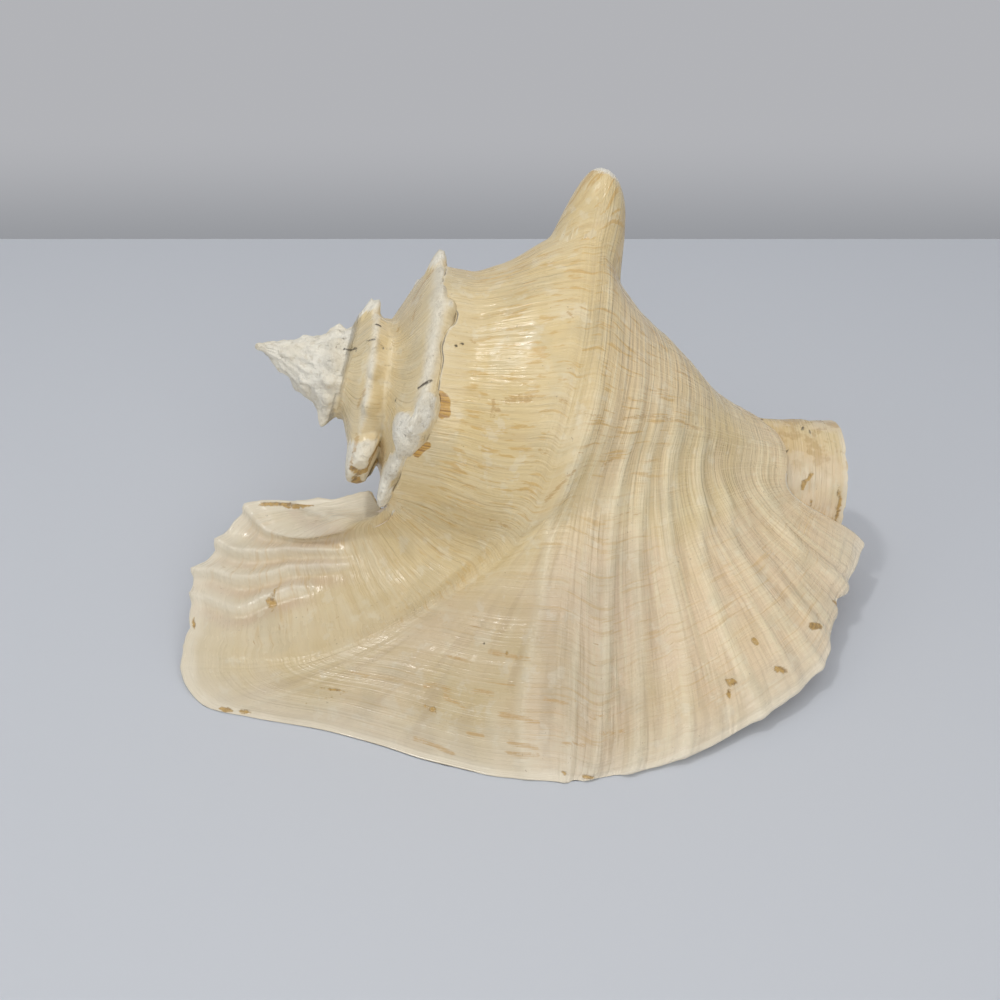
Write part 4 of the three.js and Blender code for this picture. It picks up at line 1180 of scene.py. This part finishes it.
# worn chalk of the spire, spines and rims
chalkc = mixc(step(cloud2, .35, .65), (.860, .820, .720), (.800, .740, .610))
chalkc = mixc(mul(fade(grain, .34, .46), .45), chalkc, (.560, .490, .370))
cm = m("ADD", chalk, mul(m("SUBTRACT", cloud2, .5), .5), clamp=True)
base = mixc(mul(step(cm, .3, .75), .92), base, chalkc)
tipw = mul(step(m("ADD", tipm, mul(m("SUBTRACT", grain, .5), 3.0)), 30.6, 32.0), .9)
base = mixc(tipw, base, (.840, .800, .700))
edge_w = mul(step(m("ADD", worn, mul(m("SUBTRACT", grain, .5), .5)), .3, .8), .75)
base = mixc(edge_w, base, (.820, .740, .590))
# pale band along the rim, its edge uneven
rimn = m("ADD", rim_d, mul(m("SUBTRACT", noise(co, 60, 2), .5), 8.0))
base = mixc(mul(fade(rimn, 6.0, 30.0), .38), base, (.800, .725, .590))
base = mixc(mul(fade(rimn, 2.0, 7.5), .55), base, (.815, .735, .590))

# canal: ochre above, white and pink below
base = mixc(mul(mul(olive, step(cloud, .35, .65)), .7), base, (.640, .450, .200))
base = mixc(mul(mul(olive, step(cloud2, .50, .58)), .6), base, (.760, .620, .430))
base = mixc(mul(mul(olive, step(noise(co, 110, 3, .6), .52, .60)), .6), base, (.500, .330, .140))


def ragged(name, amp=1.2, scale=300):
    d = attr(name)
    r = m("ADD", d, mul(m("SUBTRACT", noise(co, scale, 3, .6), .5), amp))
    return fade(r, -.25, .25)


dashn = noise(vec(mul(grw, 2.4), mul(cr, .5), 37.0), 1.0, 3.0, .6)
tan_d = m("ADD", attr("m_tan"), mul(m("SUBTRACT", dashn, .52), 3.6))
tan_m = mul(fade(tan_d, -.30, .30), step(grain, .25, .5))
base = mixc(mul(tan_m, .60), base, (.500, .300, .105))
base = mixc(mul(ragged("m_amber", 1.6, 200), .9), base, mixc(step(fine2, .42, .56), (.340, .160, .025), (.600, .335, .060)))
brown = mul(fade(m("ADD", m("ADD", attr("m_brown"), mul(m("SUBTRACT", noise(co, 230, 4, .65), .5), 3.4)), .15), -.35, .35), step(grain, .22, .42))
base = mixc(mul(brown, .88), base, mixc(step(grain, .46, .68), (.500, .300, .075), (.235, .130, .035)))
base = mixc(mul(ragged("m_white", 1.2, 300), .8), base, (.850, .800, .700))
dark = ragged("m_dark", .9, 420)
base = mixc(mul(dark, .9), base, (.050, .035, .020))
# dark line in the sutures and under the whorl's edges: painted shade in the gaps
crack = ragged("m_crack", .8, 260)
base = mixc(mul(crack, .72), base, (.125, .085, .050))
# dirt specks
sp = mul(step(speck, .70, .74), step(cloud2, .5, .6))
base = mixc(mul(mul(sp, fade(inner, .1, .3)), .5), base, (.250, .160, .080))

bsdf = nt.nodes.new("ShaderNodeBsdfPrincipled")
out = nt.nodes.new("ShaderNodeOutputMaterial")
L.new(bsdf.outputs[0], out.inputs["Surface"])
L.new(base, bsdf.inputs["Base Color"])
# roughness: semi-gloss body, chalky spire, glazed inside
rg = m("ADD", .27, mul(m("SUBTRACT", cloud2, .5), .36))
rg = m("ADD", rg, mul(m("SUBTRACT", fine, .5), .25))
rg = m("ADD", rg, mul(step(cm, .3, .75), .38))
rg = m("SUBTRACT", rg, mul(step(inner, .35, .8), .16))
rg = m("ADD", rg, mul(worn, .2), clamp=True)
L.new(rg, bsdf.inputs["Roughness"])
bsdf.inputs["IOR"].default_value = 1.52

# relief: growth lines, pits of the worn parts, pits where marks are
h = mul(m("SUBTRACT", fine, .5), mul(fade(inner, .1, .5), mul(gl, 1.3)))
h = m("ADD", h, mul(m("SUBTRACT", fine2, .5), mul(mul(fade(inner, .1, .5), steady), .35)))
h = m("ADD", h, mul(m("SUBTRACT", streak, .5), mul(mul(fade(inner, .1, .5), steady), .4)))
h = m("ADD", h, mul(m("SUBTRACT", cross, .5), mul(fade(inner, .1, .5), mul(spiral, 2.0))))
h = m("ADD", h, mul(m("SUBTRACT", cross2, .5), mul(fade(inner, .1, .5), mul(spiral, 1.1))))
h = m("ADD", h, mul(m("SUBTRACT", noise(co, 240, 2), .5), .35))
pits = mul(m("SUBTRACT", noise(co, 520, 4, .65), .5), m("ADD", .12, mul(step(cm, .3, .75), 2.2)))
h = m("ADD", h, mul(pits, fade(inner, .1, .6)))
pit2 = mul(fade(noise(co, 330, 3, .6), .30, .42), mul(step(cm, .3, .75), -.9))
h = m("ADD", h, pit2)
h = m("SUBTRACT", h, mul(brown, .6))
h = m("SUBTRACT", h, mul(dark, 1.0))
h = m("SUBTRACT", h, mul(crack, 1.0))
bump = nt.nodes.new("ShaderNodeBump")
bump.inputs["Strength"].default_value = .85
bump.inputs["Distance"].default_value = .00050
L.new(h, bump.inputs["Height"])
L.new(bump.outputs[0], bsdf.inputs["Normal"])
mesh.materials.append(mat)

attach(shell, "root")
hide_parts("conch_shell")


# ---------------------------------------------------------------- table, light, camera
def plain(name, colour, rough):
    p = bpy.data.materials.new(name)
    p.use_nodes = True
    b = p.node_tree.nodes["Principled BSDF"]
    b.inputs["Base Color"].default_value = (*colour, 1)
    b.inputs["Roughness"].default_value = rough
    return p


def glowing_wall_with_painted_shade():
    """glowing sheet for a white wall, with painted shade along its foot"""
    p = plain("backdrop_glowing_painted_shade", (.600, .608, .632), .8)
    n = p.node_tree
    z = n.nodes.new("ShaderNodeSeparateXYZ")
    n.links.new(n.nodes.new("ShaderNodeTexCoord").outputs["Object"], z.inputs[0])
    r = n.nodes.new("ShaderNodeMapRange")
    r.interpolation_type = "SMOOTHSTEP"
    r.inputs["From Min"].default_value = -.540
    r.inputs["From Max"].default_value = -.284
    n.links.new(z.outputs["Z"], r.inputs["Value"])
    c = n.nodes.new("ShaderNodeMix")
    c.data_type = "RGBA"
    n.links.new(r.outputs["Result"], c.inputs[0])
    c.inputs[6].default_value = (.294, .303, .324, 1)
    c.inputs[7].default_value = (.447, .452, .474, 1)
    # the sheet glows by itself, though it is no lamp, with the painted shade of its foot
    e = n.nodes.new("ShaderNodeEmission")
    n.links.new(c.outputs[2], e.inputs["Color"])
    n.links.new(e.outputs[0], n.nodes["Material Output"].inputs["Surface"])
    return p


def sheet(name, corners, m_):
    me = bpy.data.meshes.new(name)
    me.from_pydata(corners, [], [(0, 1, 2, 3)])
    me.materials.append(m_)
    o = bpy.data.objects.new(name, me)
    bpy.context.scene.collection.objects.link(o)
    return o


sheet("table", [(-3, -2.5, -.0003), (3, -2.5, -.0003), (3, .374, -.0003), (-3, .374, -.0003)], plain("table_white", (.590, .610, .650), .5))
sheet("backdrop", [(-5, 1.6, -2), (5, 1.6, -2), (5, 1.6, 3), (-5, 1.6, 3)], glowing_wall_with_painted_shade())


def area(name, loc, aim, size, power, colour):
    d = bpy.data.lights.new(name, "AREA")
    d.shape = "RECTANGLE"
    d.size, d.size_y = size
    d.energy = power
    d.color = colour
    o = bpy.data.objects.new(name, d)
    o.location = loc
    v = np.array(aim)-np.array(loc)
    from mathutils import Vector
    o.rotation_euler = Vector(v).to_track_quat("-Z", "Y").to_euler()
    bpy.context.scene.collection.objects.link(o)


area("ceiling_soft", (.12, -.02, 1.30), (0, 0, 0), (1.5, 1.1), 2.9, (1, .985, .96))
area("room_front", (.26, -1.22, .82), (0, 0, .06), (1.3, .8), 7.3, (1, .98, .94))
area("lamp_small", (-.42, -.10, 1.12), (0, 0, .05), (.15, .10), 2.6, (1, .99, .97))
area("window_left", (-1.3, -.5, .8), (0, 0, .05), (.8, .8), 1.2, (.95, .98, 1))
world = bpy.data.worlds.new("soft_room")
world.use_nodes = True
world.node_tree.nodes["Background"].inputs[0].default_value = (.90, .94, 1.0, 1)
world.node_tree.nodes["Background"].inputs[1].default_value = .42
bpy.context.scene.world = world

cam_d = bpy.data.cameras.new("camera")
cam_d.lens = 39.6
cam_d.sensor_width = 36
cam = bpy.data.objects.new("camera", cam_d)
cam.location = (-.013736, -.347267, .286)
cam.rotation_euler = (math.radians(55), 0, 0)
cam_d.clip_start = .01
bpy.context.scene.collection.objects.link(cam)
bpy.context.scene.camera = cam
bpy.context.scene.view_settings.view_transform = "Standard"
